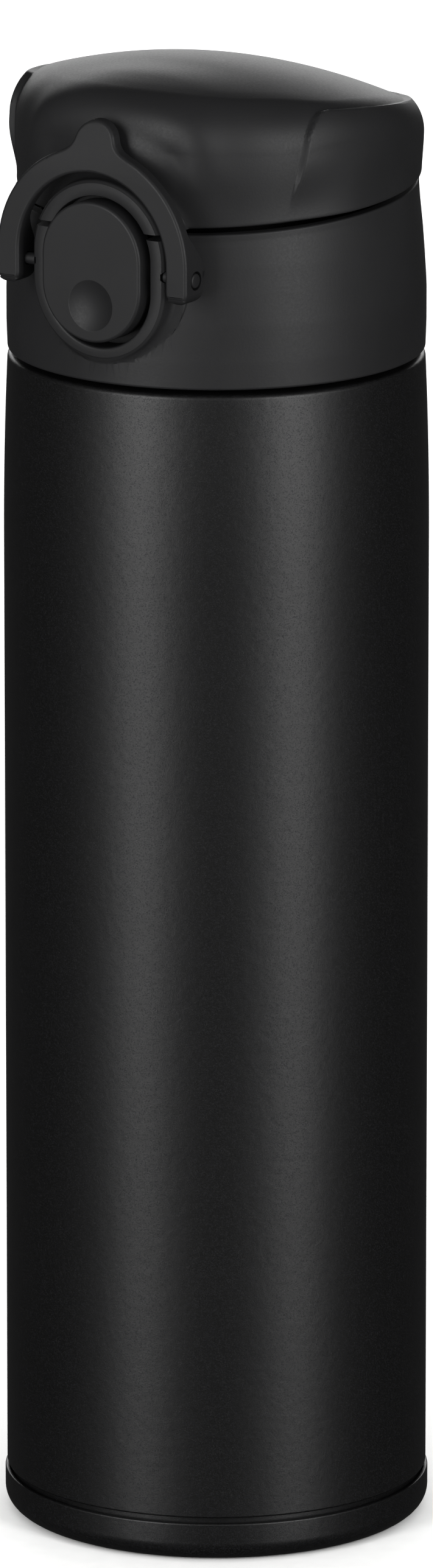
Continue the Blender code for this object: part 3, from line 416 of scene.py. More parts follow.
@dataclass(frozen=True)
class Finish:
    """What every finish has: its name, two tones of its colour and its roughness range."""

    name: str
    dark: str
    light: str
    smooth: float
    rough: float

    def grain(self, tree: bpy.types.NodeTree, size: float, detail: float = 3.0) -> bpy.types.Node:
        """Returns a noise of a real grain size on object coordinates."""
        place = add_node(tree, "ShaderNodeTexCoord")
        return add_node(
            tree, "ShaderNodeTexNoise",
            inputs={"Vector": place.outputs["Object"], "Scale": 1 / size, "Detail": detail},
        )

    def ramp(
        self, tree: bpy.types.NodeTree, value: bpy.types.NodeSocket, low: float, high: float
    ) -> bpy.types.NodeSocket:
        """Returns a value mapped from 0.3..0.7 of a noise to low..high."""
        node = add_node(
            tree,
            "ShaderNodeMapRange",
            inputs={"Value": value, "From Min": 0.3, "From Max": 0.7, "To Min": low, "To Max": high},
        )
        return node.outputs["Result"]

    def tone(self, tree: bpy.types.NodeTree, share: bpy.types.NodeSocket) -> bpy.types.NodeSocket:
        """Returns the colour between the dark and the light tone."""
        node = add_node(
            tree, "ShaderNodeMix", {"data_type": "RGBA"},
            {"Factor": share, "A": linear(self.dark), "B": linear(self.light)},
        )
        return node.outputs["Result"]

    def relief(
        self, tree: bpy.types.NodeTree, height: bpy.types.NodeSocket, depth: float, strength: float
    ) -> bpy.types.NodeSocket:
        """Returns a normal that is bumped by a height of a real depth."""
        node = add_node(
            tree,
            "ShaderNodeBump",
            inputs={"Height": height, "Distance": depth, "Strength": strength},
        )
        return node.outputs["Normal"]

    def shade(self, tree: bpy.types.NodeTree, shader: bpy.types.Node) -> None:
        """Links the finish's pattern to the shader; each finish has its own."""
        raise NotImplementedError

    def build(self) -> bpy.types.Material:
        """Makes the material."""
        material = bpy.data.materials.new(self.name)
        material.use_nodes = True
        tree = material.node_tree
        shader = tree.nodes["Principled BSDF"]
        self.shade(tree, shader)
        return material


@dataclass(frozen=True)
class PowderPaint(Finish):
    """Black powder paint with fine metal flakes, sprayed and baked on steel.

    The flakes give the eye a fine sparkle inside the highlights, and the baked film a
    slight orange peel. Real flakes are about 0.1 mm; they are drawn a little coarser so that they show.
    """

    flake: float = 0.13 * MM
    peel: float = 1.6 * MM
    flake_share: float = 0.4

    def shade(self, tree: bpy.types.NodeTree, shader: bpy.types.Node) -> None:
        """Mixes dark binder with scattered flakes and a fine grain."""
        place = add_node(tree, "ShaderNodeTexCoord").outputs["Object"]
        cells = add_node(
            tree, "ShaderNodeTexVoronoi",
            inputs={"Vector": place, "Scale": 1 / self.flake, "Randomness": 1.0},
        )
        split = add_node(tree, "ShaderNodeSeparateColor", inputs={"Color": cells.outputs["Color"]})
        chosen = add_node(
            tree,
            "ShaderNodeMapRange",
            inputs={
                "Value": split.outputs["Red"], "From Min": 1 - self.flake_share, "From Max": 1.0
            },
        ).outputs["Result"]
        fine = self.grain(tree, self.flake * 0.8, 4.0).outputs["Fac"]
        peel = self.grain(tree, self.peel, 2.0).outputs["Fac"]
        heights = add_node(
            tree, "ShaderNodeMath", {"operation": "MULTIPLY_ADD"}, {0: fine, 1: 0.6, 2: peel}
        ).outputs["Value"]
        link_inputs(
            tree,
            shader,
            {
                "Base Color": self.tone(tree, chosen),
                "Metallic": self.ramp(tree, chosen, 0.0, 0.6),
                "Roughness": self.ramp(tree, fine, self.smooth, self.rough),
                "Normal": self.relief(tree, heights, 0.06 * MM, 0.5),
            },
        )


@dataclass(frozen=True)
class MouldedPlastic(Finish):
    """Injection-moulded polypropylene from a spark-eroded mould.

    The mould's fine pits leave an even matte skin with a faint sheen along edges.
    """

    pit: float = 0.35 * MM
    depth: float = 0.02 * MM
    gloss: float = 0.32

    def shade(self, tree: bpy.types.NodeTree, shader: bpy.types.Node) -> None:
        """Adds the pitted skin and slow drifts of tone from the melt's flow."""
        fine = self.grain(tree, self.pit, 4.0).outputs["Fac"]
        drift = self.grain(tree, 14 * MM, 2.0).outputs["Fac"]
        link_inputs(
            tree,
            shader,
            {
                "Base Color": self.tone(tree, self.ramp(tree, drift, 0.0, 1.0)),
                "Roughness": self.ramp(tree, fine, self.smooth, self.rough),
                "Normal": self.relief(tree, fine, self.depth, 0.5), "IOR": 1.49,
                "Specular IOR Level": self.gloss,
            },
        )


@dataclass(frozen=True)
class SiliconeRubber(Finish):
    """Food-grade silicone, pressed in a fine-blasted mould: soft, a little translucent."""

    def shade(self, tree: bpy.types.NodeTree, shader: bpy.types.Node) -> None:
        """Adds a powdery skin over slight depth."""
        fine = self.grain(tree, 0.4 * MM, 3.0).outputs["Fac"]
        link_inputs(
            tree,
            shader,
            {
                "Base Color": self.tone(tree, fine),
                "Roughness": self.ramp(tree, fine, self.smooth, self.rough),
                "Normal": self.relief(tree, fine, 0.02 * MM, 0.4), "IOR": 1.41,
                "Subsurface Weight": 0.15, "Subsurface Scale": 1.0 * MM,
            },
        )


@dataclass(frozen=True)
class Metal(Finish):
    """Bare metal with marks drawn out across the line it was worked along.

    The marks are long round the vessel, where it was turned and electropolished, and
    short where the metal was rolled or drawn.
    """

    mark: float = 0.3 * MM
    stretch: float = 60.0
    depth: float = 0.01 * MM

    def shade(self, tree: bpy.types.NodeTree, shader: bpy.types.Node) -> None:
        """Adds stretched working marks to colour, roughness and relief."""
        place = add_node(tree, "ShaderNodeTexCoord").outputs["Object"]
        along = 1 / (self.mark * self.stretch)
        mapping = add_node(
            tree, "ShaderNodeMapping",
            inputs={"Vector": place, "Scale": (along, along, 1 / self.mark)},
        )
        marks = add_node(
            tree, "ShaderNodeTexNoise",
            inputs={"Vector": mapping.outputs["Vector"], "Scale": 1.0, "Detail": 4.0},
        ).outputs["Fac"]
        link_inputs(
            tree,
            shader,
            {
                "Base Color": self.tone(tree, marks), "Metallic": 1.0,
                "Roughness": self.ramp(tree, marks, self.smooth, self.rough),
                "Normal": self.relief(tree, marks, self.depth, 0.4),
            },
        )


@dataclass(frozen=True)
class SealGlass(Finish):
    """A drop of sealing glass, melted over the evacuation hole."""

    def shade(self, tree: bpy.types.NodeTree, shader: bpy.types.Node) -> None:
        """Adds faint bubbles to a glossy dark drop."""
        bubbles = self.grain(tree, 0.6 * MM, 2.0).outputs["Fac"]
        link_inputs(
            tree,
            shader,
            {
                "Base Color": self.tone(tree, bubbles),
                "Roughness": self.ramp(tree, bubbles, self.smooth, self.rough),
                "Normal": self.relief(tree, bubbles, 0.03 * MM, 0.3), "IOR": 1.52,
                "Coat Weight": 0.4,
            },
        )


@dataclass(frozen=True)
class PaperSweep(Finish):
    """The studio's pale paper, with a faint fibre."""

    def shade(self, tree: bpy.types.NodeTree, shader: bpy.types.Node) -> None:
        """Adds the fibre's slight tone."""
        fibre = self.grain(tree, 3 * MM, 3.0).outputs["Fac"]
        link_inputs(
            tree,
            shader,
            {
                "Base Color": self.tone(tree, fibre),
                "Roughness": self.ramp(tree, fibre, self.smooth, self.rough),
            },
        )


@dataclass
class Palette:
    """Every material of the flask, made once."""

    paint: bpy.types.Material = field(
        default_factory=PowderPaint("powder_coated_steel", "#030303", "#1f1f21", 0.38, 0.46).build
    )
    matte: bpy.types.Material = field(
        default_factory=MouldedPlastic("matte_moulded_pp", "#151516", "#181819", 0.48, 0.55).build
    )
    satin: bpy.types.Material = field(
        default_factory=MouldedPlastic(
            "satin_moulded_abs", "#131314", "#161617", 0.48, 0.56, depth=0.012 * MM
        ).build
    )
    inner: bpy.types.Material = field(
        default_factory=MouldedPlastic(
            "inner_moulded_pp", "#141415", "#181819", 0.34, 0.46, depth=0.01 * MM
        ).build
    )
    silicone: bpy.types.Material = field(
        default_factory=SiliconeRubber("pressed_silicone", "#7b7c7d", "#868788", 0.5, 0.65).build
    )
    steel: bpy.types.Material = field(
        default_factory=Metal("electropolished_steel", "#a9a9a6", "#c2c2bf", 0.16, 0.3).build
    )
    spring: bpy.types.Material = field(
        default_factory=Metal(
            "drawn_spring_steel", "#8d8d8b", "#a5a5a2", 0.25, 0.4, mark=0.15 * MM, stretch=8.0
        ).build
    )
    foil: bpy.types.Material = field(
        default_factory=Metal(
            "rolled_copper_foil", "#b0704f", "#c98462", 0.2, 0.4, mark=1.2 * MM, stretch=3.0
        ).build
    )
    getter: bpy.types.Material = field(
        default_factory=Metal(
            "sintered_getter", "#5b5b59", "#767673", 0.5, 0.75, mark=0.12 * MM, stretch=1.0
        ).build
    )
    glass: bpy.types.Material = field(
        default_factory=SealGlass("melted_seal_glass", "#3e4543", "#59625f", 0.08, 0.2).build
    )


# ---------------------------------------------------------------- shared places


@dataclass(frozen=True)
class Landmarks:
    """Radii, heights and depths that several pieces share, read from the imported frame."""

    seam: float
    body_r: float
    base_r: float
    base_lip: float
    shoulder: float
    neck_r: float
    neck_top: float
    cap_bottom: float
    belly_r: float
    flange_z: float
    flange_r: float
    spout_top: float
    parting_z: float
    bezel_face: float
    button_r: float
    button_upper: float
    button_lower: float
    button_face: float
    button_axis: Point
    ring_r: float
    ring_face: float
    ring_foot: float
    ring_tip: float
    ring_axis: Point
    hinge_axis: Point
    hinge_end: float
    crown: float
    slope: float = 0.0643
    parting_gap: float = 0.9 * MM
    gap: float = 0.3 * MM
    pin_r: float = 1.0 * MM
    pin_play: float = 0.15 * MM
    knuckle_r: float = 3.4 * MM
    knuckle_inner: float = 3.9 * MM
    knuckle_outer: float = 8.9 * MM
    latch_half: float = 4.0 * MM
    ring_foot_round: float = 1.4 * MM

    @classmethod
    def read(cls) -> Landmarks:
        """Measures the frame's boxes."""
        shell, base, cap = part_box("outer_shell"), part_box("base_cup"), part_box("cap_base")
        vessel, gasket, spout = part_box("inner_vessel"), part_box("spout_gasket"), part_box("drinking_spout")
        button, ring, rod_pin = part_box("push_button"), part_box("lock_ring"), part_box("button_pin")
        pin, hinge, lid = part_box("ring_pin_right"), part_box("hinge_pin"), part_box("lid_shell")
        seam = 0.8 * MM
        return cls(
            seam=seam, body_r=shell[1].x, base_r=base[1].x, base_lip=base[1].z,
            shoulder=cap[0].z - seam, neck_r=gasket[1].x - 0.2 * MM, neck_top=vessel[1].z,
            cap_bottom=cap[0].z, belly_r=cap[1].x, flange_z=spout[0].z, flange_r=spout[1].x,
            spout_top=spout[1].z, parting_z=spout[1].z - 4.0 * MM, bezel_face=cap[0].y,
            button_r=button[1].x, button_upper=button[1].z - button[1].x,
            button_lower=button[0].z + button[1].x, button_face=button[0].y,
            button_axis=middle(rod_pin), ring_r=ring[1].x, ring_face=ring[0].y, ring_foot=ring[0].z,
            ring_tip=ring[1].z, ring_axis=middle(pin), hinge_axis=middle(hinge),
            hinge_end=hinge[1].x, crown=lid[1].z,
        )

    @property
    def pocket_r(self) -> float:
        """Radius of the slot that the button rocks in."""
        return self.button_r + 0.5 * MM

    @property
    def bezel_r(self) -> float:
        """Outer radius of the frame round the button."""
        return self.pocket_r + 2.8 * MM

    @property
    def pin_bore_r(self) -> float:
        """Radius of a bore in which a pin turns."""
        return self.pin_r + self.pin_play

    @property
    def latch_z(self) -> float:
        """Height where the lid's catch hooks the button's tooth."""
        return self.button_upper + 2.4 * MM

    @property
    def bridge_z(self) -> float:
        """Height of the underside of the lid's hinge bridge, clear of the knuckles."""
        return self.hinge_axis[1] + self.knuckle_r + 0.6 * MM

    def parting(self, y: float) -> float:
        """Returns the height of the tilted plane between lid and cap at a depth."""
        return self.parting_z + self.slope * y


def middle(box: tuple[Vector, Vector]) -> Point:
    """Returns the (Y, Z) centre of a box."""
    centre = (box[0] + box[1]) / 2
    return centre.y, centre.z


def sliced(bm: bmesh.types.BMesh, marks: Landmarks, side: int) -> bmesh.types.BMesh:
    """Cuts a solid along the parting plane and closes it.

    Args:
        bm: The solid.
        marks: Gives the plane.
        side: +1 keeps what lies above the gap, -1 what lies below it.

    Returns:
        The kept part, with softened edges along the cut.
    """
    level = marks.parting_z + side * marks.parting_gap / 2
    upward = Vector((0, -marks.slope, 1)).normalized()
    bmesh.ops.bisect_plane(
        bm, geom=bm.verts[:] + bm.edges[:] + bm.faces[:], plane_co=(0, 0, level),
        plane_no=upward * -side, clear_outer=True,
    )
    rim = [e for e in bm.edges if e.is_boundary]
    bmesh.ops.edgeloop_fill(bm, edges=rim)
    bmesh.ops.recalc_face_normals(bm, faces=bm.faces)
    return bm


def stadium_place(marks: Landmarks, x: float, z: float) -> tuple[float, Vector]:
    """Returns a point's distance from the button's upright midline and its way outwards."""
    core = Vector((0.0, min(marks.button_upper, max(marks.button_lower, z))))
    out = Vector((x, z)) - core
    return out.length, out.normalized() if out.length > 0 else Vector((0.0, 1.0))


def bezel_block(marks: Landmarks, back: float, wall_r: float) -> bmesh.types.BMesh:
    """Models the raised frame round the button as a full block, before its slot is cut.

    Its face is gently crowned, its sides flare and run into the wall by a round.

    Args:
        marks: The shared places.
        back: Y where the block ends, inside the wall.
        wall_r: Radius of the wall that it stands on.

    Returns:
        The block.
    """
    flare, edge, root, crown = 0.35 * MM, 0.7 * MM, 1.3 * MM, 0.22 * MM
    face = marks.bezel_face
    outline = stadium(marks.bezel_r, marks.button_upper, marks.button_lower, 40)
    bm = prism(outline, "Y", spread(face, back, 12))
    rim = [e for e in bm.edges if all(v.co.y < face + 0.01 * MM for v in e.verts)]
    soften(bm, rim, edge, 4)
    front = [f for f in bm.faces if all(v.co.y < face + 0.01 * MM for v in f.verts)]
    for _ in range(4):
        bmesh.ops.inset_region(bm, faces=front, thickness=0.55 * MM, use_even_offset=True)
    half = (marks.bezel_r - marks.pocket_r) / 2
    for vert in bm.verts:
        spread_r, outward = stadium_place(marks, vert.co.x, vert.co.z)
        depth = (vert.co.y - face) / (back - face)
        height = math.hypot(vert.co.x, vert.co.y) - wall_r
        push = flare * (2 * depth - 1) * spread_r / marks.bezel_r
        if spread_r > marks.bezel_r - 0.05 * MM and height < root:
            rest = root - max(0.0, height)
            push += root - math.sqrt(max(0.0, root**2 - rest**2))
        if vert.co.y < face + 0.01 * MM:
            part = (spread_r - marks.pocket_r - half) / half
            vert.co.y -= crown * max(0.0, 1 - part**2)
        vert.co.x += outward.x * push
        vert.co.z += outward.y * push
    return bm


def slot_cutter(marks: Landmarks, floor: float, lower: float) -> bmesh.types.BMesh:
    """Models the button's slot as a cutter whose mouth rounds the frame's inner lip.

    Args:
        marks: The shared places.
        floor: Y of the slot's flat floor.
        lower: Height of the slot's lower centre.

    Returns:
        The cutter.
    """
    lip, face = 0.4 * MM, marks.bezel_face - 0.2 * MM
    steps = [0.0, 0.03, 0.1, 0.22, 0.4, 0.7, 1.0]
    stations = [face - 3 * MM] + [face + lip * s for s in steps] + [floor]
    outline = stadium(marks.pocket_r, marks.button_upper, lower, 40)
    bm = prism(outline, "Y", stations)
    for vert in bm.verts:
        rest = min(1.0, max(0.0, 1 - (vert.co.y - face) / lip))
        push = lip * (1 - math.sqrt(1 - rest**2))
        core = Vector((0.0, min(marks.button_upper, max(lower, vert.co.z))))
        out = (Vector((vert.co.x, vert.co.z)) - core).normalized() * push
        vert.co.x += out.x
        vert.co.z += out.y
    return bm


# ---------------------------------------------------------------- pieces


def add_piece(
    bm: bmesh.types.BMesh, name: str, material: bpy.types.Material, slot: Slot, body: str,
    *replaced: str,
) -> bpy.types.Object:
    """Makes a finished piece: shading, material, the body it rides on and what it replaces.

    Args:
        bm: The piece's mesh, in place.
        name: The piece's name.
        material: Its finish.
        slot: The record's material slot; not used.
        body: The CAD body it moves with.
        replaced: CAD nodes that it stands for.

    Returns:
        The piece.
    """
    obj = as_object(bm, name)
    obj.data.materials.append(material)
    obj.data.shade_smooth()
    obj.data.set_sharp_from_angle(angle=math.radians(32))
    weighted = obj.modifiers.new("weighted", "WEIGHTED_NORMAL")
    weighted.keep_sharp = True
    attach(obj, body)
    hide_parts(*replaced)
    LOG.info("%s: %d faces on %s", name, len(obj.data.polygons), body)
    return obj


def wire(points: Sequence[Vector], radius: float) -> bmesh.types.BMesh:
    """Sweeps a round wire through points and closes both ends."""
    curve = bpy.data.curves.new("wire", "CURVE")
    curve.dimensions = "3D"
    curve.bevel_depth = radius
    curve.bevel_resolution = 4
    curve.use_fill_caps = True
    spline = curve.splines.new("POLY")
    spline.points.add(len(points) - 1)
    for target, point in zip(spline.points, points):
        target.co = (*point, 1.0)
    obj = bpy.data.objects.new("wire", curve)
    mesh = bpy.data.meshes.new_from_object(obj)
    bm = bmesh.new()
    bm.from_mesh(mesh)
    bpy.data.objects.remove(obj)
    bpy.data.meshes.remove(mesh)
    return cleaned(bm)


def coil(radius: float, turns: float, start: float, end: float) -> list[Vector]:
    """Returns the points of a round coil about the X axis."""
    count = round(turns * 24)
    angles = [2 * math.pi * turns * i / count for i in range(count + 1)]
    places = spread(start, end, count)
    return [Vector((x, radius * math.cos(a), radius * math.sin(a))) for x, a in zip(places, angles)]


@dataclass
class Bottle:
    """The double-walled steel bottle: painted shell and base cup, bare vessel inside."""

    marks: Landmarks
    palette: Palette
    draw_in: float = 0.65 * MM
    taper: float = 28.4 * MM
    wall: float = 0.5 * MM
    base_wall: float = 0.6 * MM
    edge_r: float = 4.2 * MM
    foot_width: float = 6.6 * MM
    foot_height: float = 1.0 * MM
    mouth_lip: float = 4.0 * MM
    thread_pitch: float = 4.0 * MM
    thread_depth: float = 1.2 * MM

    def wall_radius(self, z: float) -> float:
        """Returns the wall's radius: straight, then drawn in towards the shoulder."""
        start = self.marks.shoulder - self.taper
        part = max(0.0, (z - start) / self.taper)
        return self.marks.body_r - self.draw_in * part**2

    def shell(self) -> bpy.types.Object:
        """Models the painted outer shell with its shoulder, neck and thread."""
        m = self.marks
        skirt = m.base_r - self.base_wall - m.gap - 0.1 * MM
        seam_z = m.base_lip + m.seam
        top_r = m.body_r - self.draw_in
        heights = spread(m.shoulder - self.taper, m.shoulder - 2 * MM, 10)
        outside = [
            (skirt, m.base_lip - 2.4 * MM, 0.1 * MM),
            (skirt, seam_z, 0.1 * MM),
            (m.body_r, seam_z, 0.4 * MM),
        ]
        outside += [(self.wall_radius(z), z, 0.0) for z in heights]
        outside += [
            (top_r, m.shoulder, 0.8 * MM),
            (m.neck_r + 0.8 * MM, m.shoulder + 0.2 * MM, 0.4 * MM),
            (m.neck_r, m.shoulder + 1.2 * MM, 0.5 * MM),
            (m.neck_r, m.neck_top - 1.0 * MM, 0.15 * MM),
        ]
        inside = [
            (m.neck_r - self.wall, m.neck_top - 1.0 * MM, 0.15 * MM),
            (m.neck_r - self.wall, m.shoulder, 0.5 * MM),
            (m.neck_r + 0.6 * MM, m.shoulder - self.wall, 0.4 * MM),
            (top_r - 1.6 * MM, m.shoulder - self.wall - 0.3 * MM, 0.5 * MM),
        ]
        inside += [(self.wall_radius(z) - self.wall, z, 0.0) for z in reversed(heights[:-1])]
        inside += [
            (m.body_r - self.wall, seam_z + self.wall, 0.4 * MM),
            (skirt - self.wall, seam_z + self.wall, 0.1 * MM),
            (skirt - self.wall, m.base_lip - 2.4 * MM, 0.1 * MM),
        ]
        bm = spun(rounded(outside + inside), 240)
        start = m.shoulder + 3.8 * MM
        root, crest = m.neck_r - 0.3 * MM, m.neck_r + self.thread_depth
        section = [
            (root, start - 0.7 * MM),
            (crest - 0.2 * MM, start - 0.4 * MM),
            (crest, start - 0.2 * MM),
            (crest, start + 0.2 * MM),
            (crest - 0.2 * MM, start + 0.4 * MM),
            (root, start + 0.7 * MM),
        ]
        bm = combined(bm, Cut.ADD, helix(section, self.thread_pitch, 1.5, 96))
        return add_piece(bm, "body_shell", self.palette.paint, Slot.PAINT, "bottle", "outer_shell")

    def base(self) -> bpy.types.Object:
        """Models the painted cup under the seam, with its foot ring."""
        m = self.marks
        foot_outer = m.base_r - self.edge_r
        foot_inner = foot_outer - self.foot_width
        slope = 1.4 * MM
        corners = [
            (0.0, self.foot_height, 0.0),
            (foot_inner - slope, self.foot_height, 0.8 * MM),
            (foot_inner, 0.0, 0.4 * MM),
            (m.base_r, 0.0, self.edge_r),
            (m.base_r, m.base_lip, 0.35 * MM),
            (m.base_r - self.base_wall, m.base_lip, 0.1 * MM),
            (m.base_r - self.base_wall, self.base_wall, self.edge_r - self.base_wall),
            (foot_inner + 0.3 * MM, self.base_wall, 0.4 * MM),
            (foot_inner - slope + 0.3 * MM, self.foot_height + self.base_wall, 0.5 * MM),
            (0.0, self.foot_height + self.base_wall, 0.0),
        ]
        bm = spun(rounded(corners, 9.0), 240)
        return add_piece(bm, "body_base_cup", self.palette.paint, Slot.PAINT, "bottle", "base_cup")

    def vessel(self) -> bpy.types.Object:
        """Models the bare steel vessel that holds the drink."""
        m = self.marks
        low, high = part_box("inner_vessel")
        wall, floor, outer = 0.4 * MM, low.z, high.x
        mouth = m.neck_r - self.mouth_lip
        cone_z = m.shoulder - 15.4 * MM
        neck_z = cone_z + 12.0 * MM
        corners = [
            (0.0, floor, 0.0),
            (outer, floor, 6.0 * MM),
            (outer, cone_z, 5.0 * MM),
            (mouth + wall, neck_z, 3.0 * MM),
            (mouth + wall, high.z - 0.7 * MM, 0.2 * MM),
            (m.neck_r - 0.1 * MM, high.z - 0.7 * MM, 0.05 * MM),
            (m.neck_r - 0.1 * MM, high.z, 0.3 * MM),
            (mouth, high.z, 0.45 * MM),
            (mouth, neck_z - 0.2 * MM, 3.0 * MM),
            (outer - wall, cone_z - 0.2 * MM, 5.0 * MM),
            (outer - wall, floor + wall, 6.0 * MM - wall),
            (0.0, floor + wall, 0.0),
        ]
        bm = spun(rounded(corners, 7.0), 192)
        return add_piece(bm, "steel_vessel", self.palette.steel, Slot.STEEL, "bottle", "inner_vessel")

    def dress_hidden(self, nodes: dict[str, bpy.types.Object]) -> None:
        """Gives the sealed-in CAD nodes of the vacuum space their own finishes."""
        chosen = {
            "radiation_foil": self.palette.foil, "outer_bottom": self.palette.steel,
            "vacuum_seal": self.palette.glass, "getter": self.palette.getter,
        }
        for name, material in chosen.items():
            for spot in nodes[name].material_slots:
                spot.material = material

    def build(self, nodes: dict[str, bpy.types.Object]) -> None:
        """Builds every piece of the bottle."""
        self.shell()
        self.base()
        self.vessel()
        self.dress_hidden(nodes)


@dataclass
class CapUnit:
    """The screw-off cap: collar with the button's frame, drinking spout, gasket, pins and springs."""

    marks: Landmarks
    palette: Palette
    rim_wall: float = 1.8 * MM
    waist_depth: float = 1.2 * MM
    shelf: float = 1.6 * MM
    core_rise: float = 5.6 * MM
    thread_depth: float = 1.2 * MM
    thread_play: float = 0.4 * MM
    thread_pitch: float = 4.0 * MM
    spout_wall: float = 1.6 * MM
    spout_flange: float = 1.4 * MM
    pocket_depth: float = 6.2 * MM

    def __post_init__(self) -> None:
        """Works out the sizes that several of the cap's pieces use."""
        m = self.marks
        self.bore_r = m.neck_r + self.thread_depth + self.thread_play
        self.shelf_z = m.flange_z + self.spout_flange + m.gap
        self.core_top = self.shelf_z + self.core_rise
        self.spout_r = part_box("lid_seal")[1].x - 2.2 * MM
        self.pocket_floor = m.button_face + self.pocket_depth
        self.ring_inner = m.bezel_r + 1.1 * MM

    def wall(self) -> bmesh.types.BMesh:
        """Turns the collar's wall and leans its rim along the parting plane."""
        m = self.marks
        waist = m.belly_r - self.waist_depth
        rise = m.parting_z - m.cap_bottom
        rim = m.parting_z - m.parting_gap / 2
        hold = self.spout_r + 0.4 * MM
        corners = [
            (m.belly_r - 0.15 * MM, m.cap_bottom, 0.45 * MM),
            (m.belly_r, m.cap_bottom + 0.16 * rise, 20 * MM),
            (m.belly_r, m.cap_bottom + 0.38 * rise, 20 * MM),
            (m.belly_r - 0.3 * MM, m.cap_bottom + 0.57 * rise, 20 * MM),
            (m.belly_r - 0.6 * MM, m.cap_bottom + 0.73 * rise, 20 * MM),
            (waist + 0.15 * MM, m.cap_bottom + 0.88 * rise, 8 * MM),
            (waist, m.cap_bottom + 0.94 * rise, 4 * MM),
            (waist, rim, 0.3 * MM),
            (waist - self.rim_wall, rim, 0.3 * MM),
            (waist - self.rim_wall, self.core_top, 0.5 * MM),
            (self.bore_r, self.core_top, 0.4 * MM),
            (self.bore_r, self.shelf_z + self.shelf, 0.5 * MM),
            (hold, self.shelf_z + self.shelf, 0.3 * MM),
            (hold, self.shelf_z, 0.2 * MM),
            (self.bore_r, self.shelf_z, 0.3 * MM),
            (self.bore_r, m.cap_bottom, 0.6 * MM),
        ]
        bm = spun(rounded(corners), 240)
        for vert in bm.verts:
            share = smooth_step(vert.co.z, self.core_top, m.parting_z - 1.5 * MM)
            vert.co.z += m.slope * vert.co.y * share
        return bm

    def hinge_block(self) -> bmesh.types.BMesh:
        """Models the rear block that carries the hinge pin, flush with the collar below."""
        m = self.marks
        y, z = m.hinge_axis
        buried = self.bore_r + 1.7 * MM
        front = y - m.knuckle_r - 1.0 * MM
        outline = [(buried, self.shelf_z - 2.6 * MM), (m.belly_r - 0.4 * MM, self.shelf_z)]
        outline += arc((y, z), m.knuckle_r, -60, 180, 32)
        outline += [
            (front, z),
            (front, self.core_top - 2.4 * MM),
            (buried, self.shelf_z + self.shelf),
        ]
        end = m.knuckle_outer + 2 * m.gap + 3.3 * MM
        bm = prism(outline, "X", [-end, end])
        caps = [e for e in bm.edges if all(abs(abs(v.co.x) - end) < 0.01 * MM for v in e.verts)]
        soften(bm, caps, 0.35 * MM, 2)
        return bm

    def openings(self) -> list[bmesh.types.BMesh]:
        """Models every cutter of the collar: slot, catch room, notch, recesses and pin holes."""
        m = self.marks
        inner_x = m.knuckle_outer + 2 * m.gap
        hinge_y, hinge_z = m.hinge_axis
        depth = m.knuckle_r + 1.4 * MM
        half = m.latch_half + m.gap
        button_end = m.pocket_r + 0.9 * MM + m.gap
        cutters = [
            slot_cutter(m, self.pocket_floor, m.button_lower - 0.6 * MM),
            block(
                (-half, self.pocket_floor - 2 * MM, m.latch_z - 1.2 * MM),
                (half, self.pocket_floor + 2.6 * MM, m.parting_z),
            ),
            block(
                (-inner_x, hinge_y - m.knuckle_r - 0.6 * MM, hinge_z - depth),
                (inner_x, hinge_y + 10 * MM, hinge_z + 10 * MM),
            ),
            rod(m.pin_bore_r, -button_end, button_end, m.button_axis),
            rod(m.pin_bore_r, -16 * MM, 16 * MM, m.hinge_axis),
        ]
        forward = m.ring_axis[0] - m.ring_face - m.ring_foot_round
        downward = m.ring_axis[1] - m.ring_foot - m.ring_foot_round
        sweep = math.hypot(forward, downward) + m.ring_foot_round + m.gap
        for side in (-1, 1):
            start, end = side * (m.bezel_r + 0.8 * MM), side * (m.ring_r + 0.4 * MM)
            cutters.append(rod(sweep, start, end, m.ring_axis))
            start, end = side * (m.bezel_r - 0.9 * MM), side * self.ring_inner
            cutters.append(rod(0.9 * MM + m.pin_play, start, end, m.ring_axis))
        return cutters

    def collar(self) -> bpy.types.Object:
        """Models the collar with the lower half of the button's frame."""
        m = self.marks
        frame = sliced(bezel_block(m, self.pocket_floor + 0.6 * MM, m.belly_r - 0.2 * MM), m, -1)
        start = m.shoulder + 3.8 * MM + self.thread_pitch / 2
        root, crest = self.bore_r + 0.3 * MM, self.bore_r - self.thread_depth
        section = [
            (root, start - 0.7 * MM),
            (root, start + 0.7 * MM),
            (crest + 0.2 * MM, start + 0.4 * MM),
            (crest, start + 0.2 * MM),
            (crest, start - 0.2 * MM),
            (crest + 0.2 * MM, start - 0.4 * MM),
        ]
        ridge = helix(section, self.thread_pitch, 1.5, 96)
        bm = combined(self.wall(), Cut.ADD, frame, self.hinge_block(), ridge)
        bm = combined(bm, Cut.AWAY, *self.openings())
        return add_piece(bm, "cap_collar", self.palette.matte, Slot.MATTE, "cap", "cap_base")

    def spout(self) -> bpy.types.Object:
        """Models the drinking spout with its clamped flange and rolled lip."""
        m = self.marks
        inner = self.spout_r - self.spout_wall
        corners = [
            (inner, m.flange_z, 0.3 * MM),
            (m.flange_r, m.flange_z, 0.2 * MM),
            (m.flange_r, m.flange_z + self.spout_flange, 0.2 * MM),
            (self.spout_r, m.flange_z + self.spout_flange, 0.35 * MM),
            (self.spout_r, m.spout_top, 0.78 * MM),
            (inner, m.spout_top, 0.78 * MM),
        ]
        bm = spun(rounded(corners, 10.0), 160)
        return add_piece(bm, "spout", self.palette.inner, Slot.INNER, "cap", "drinking_spout")

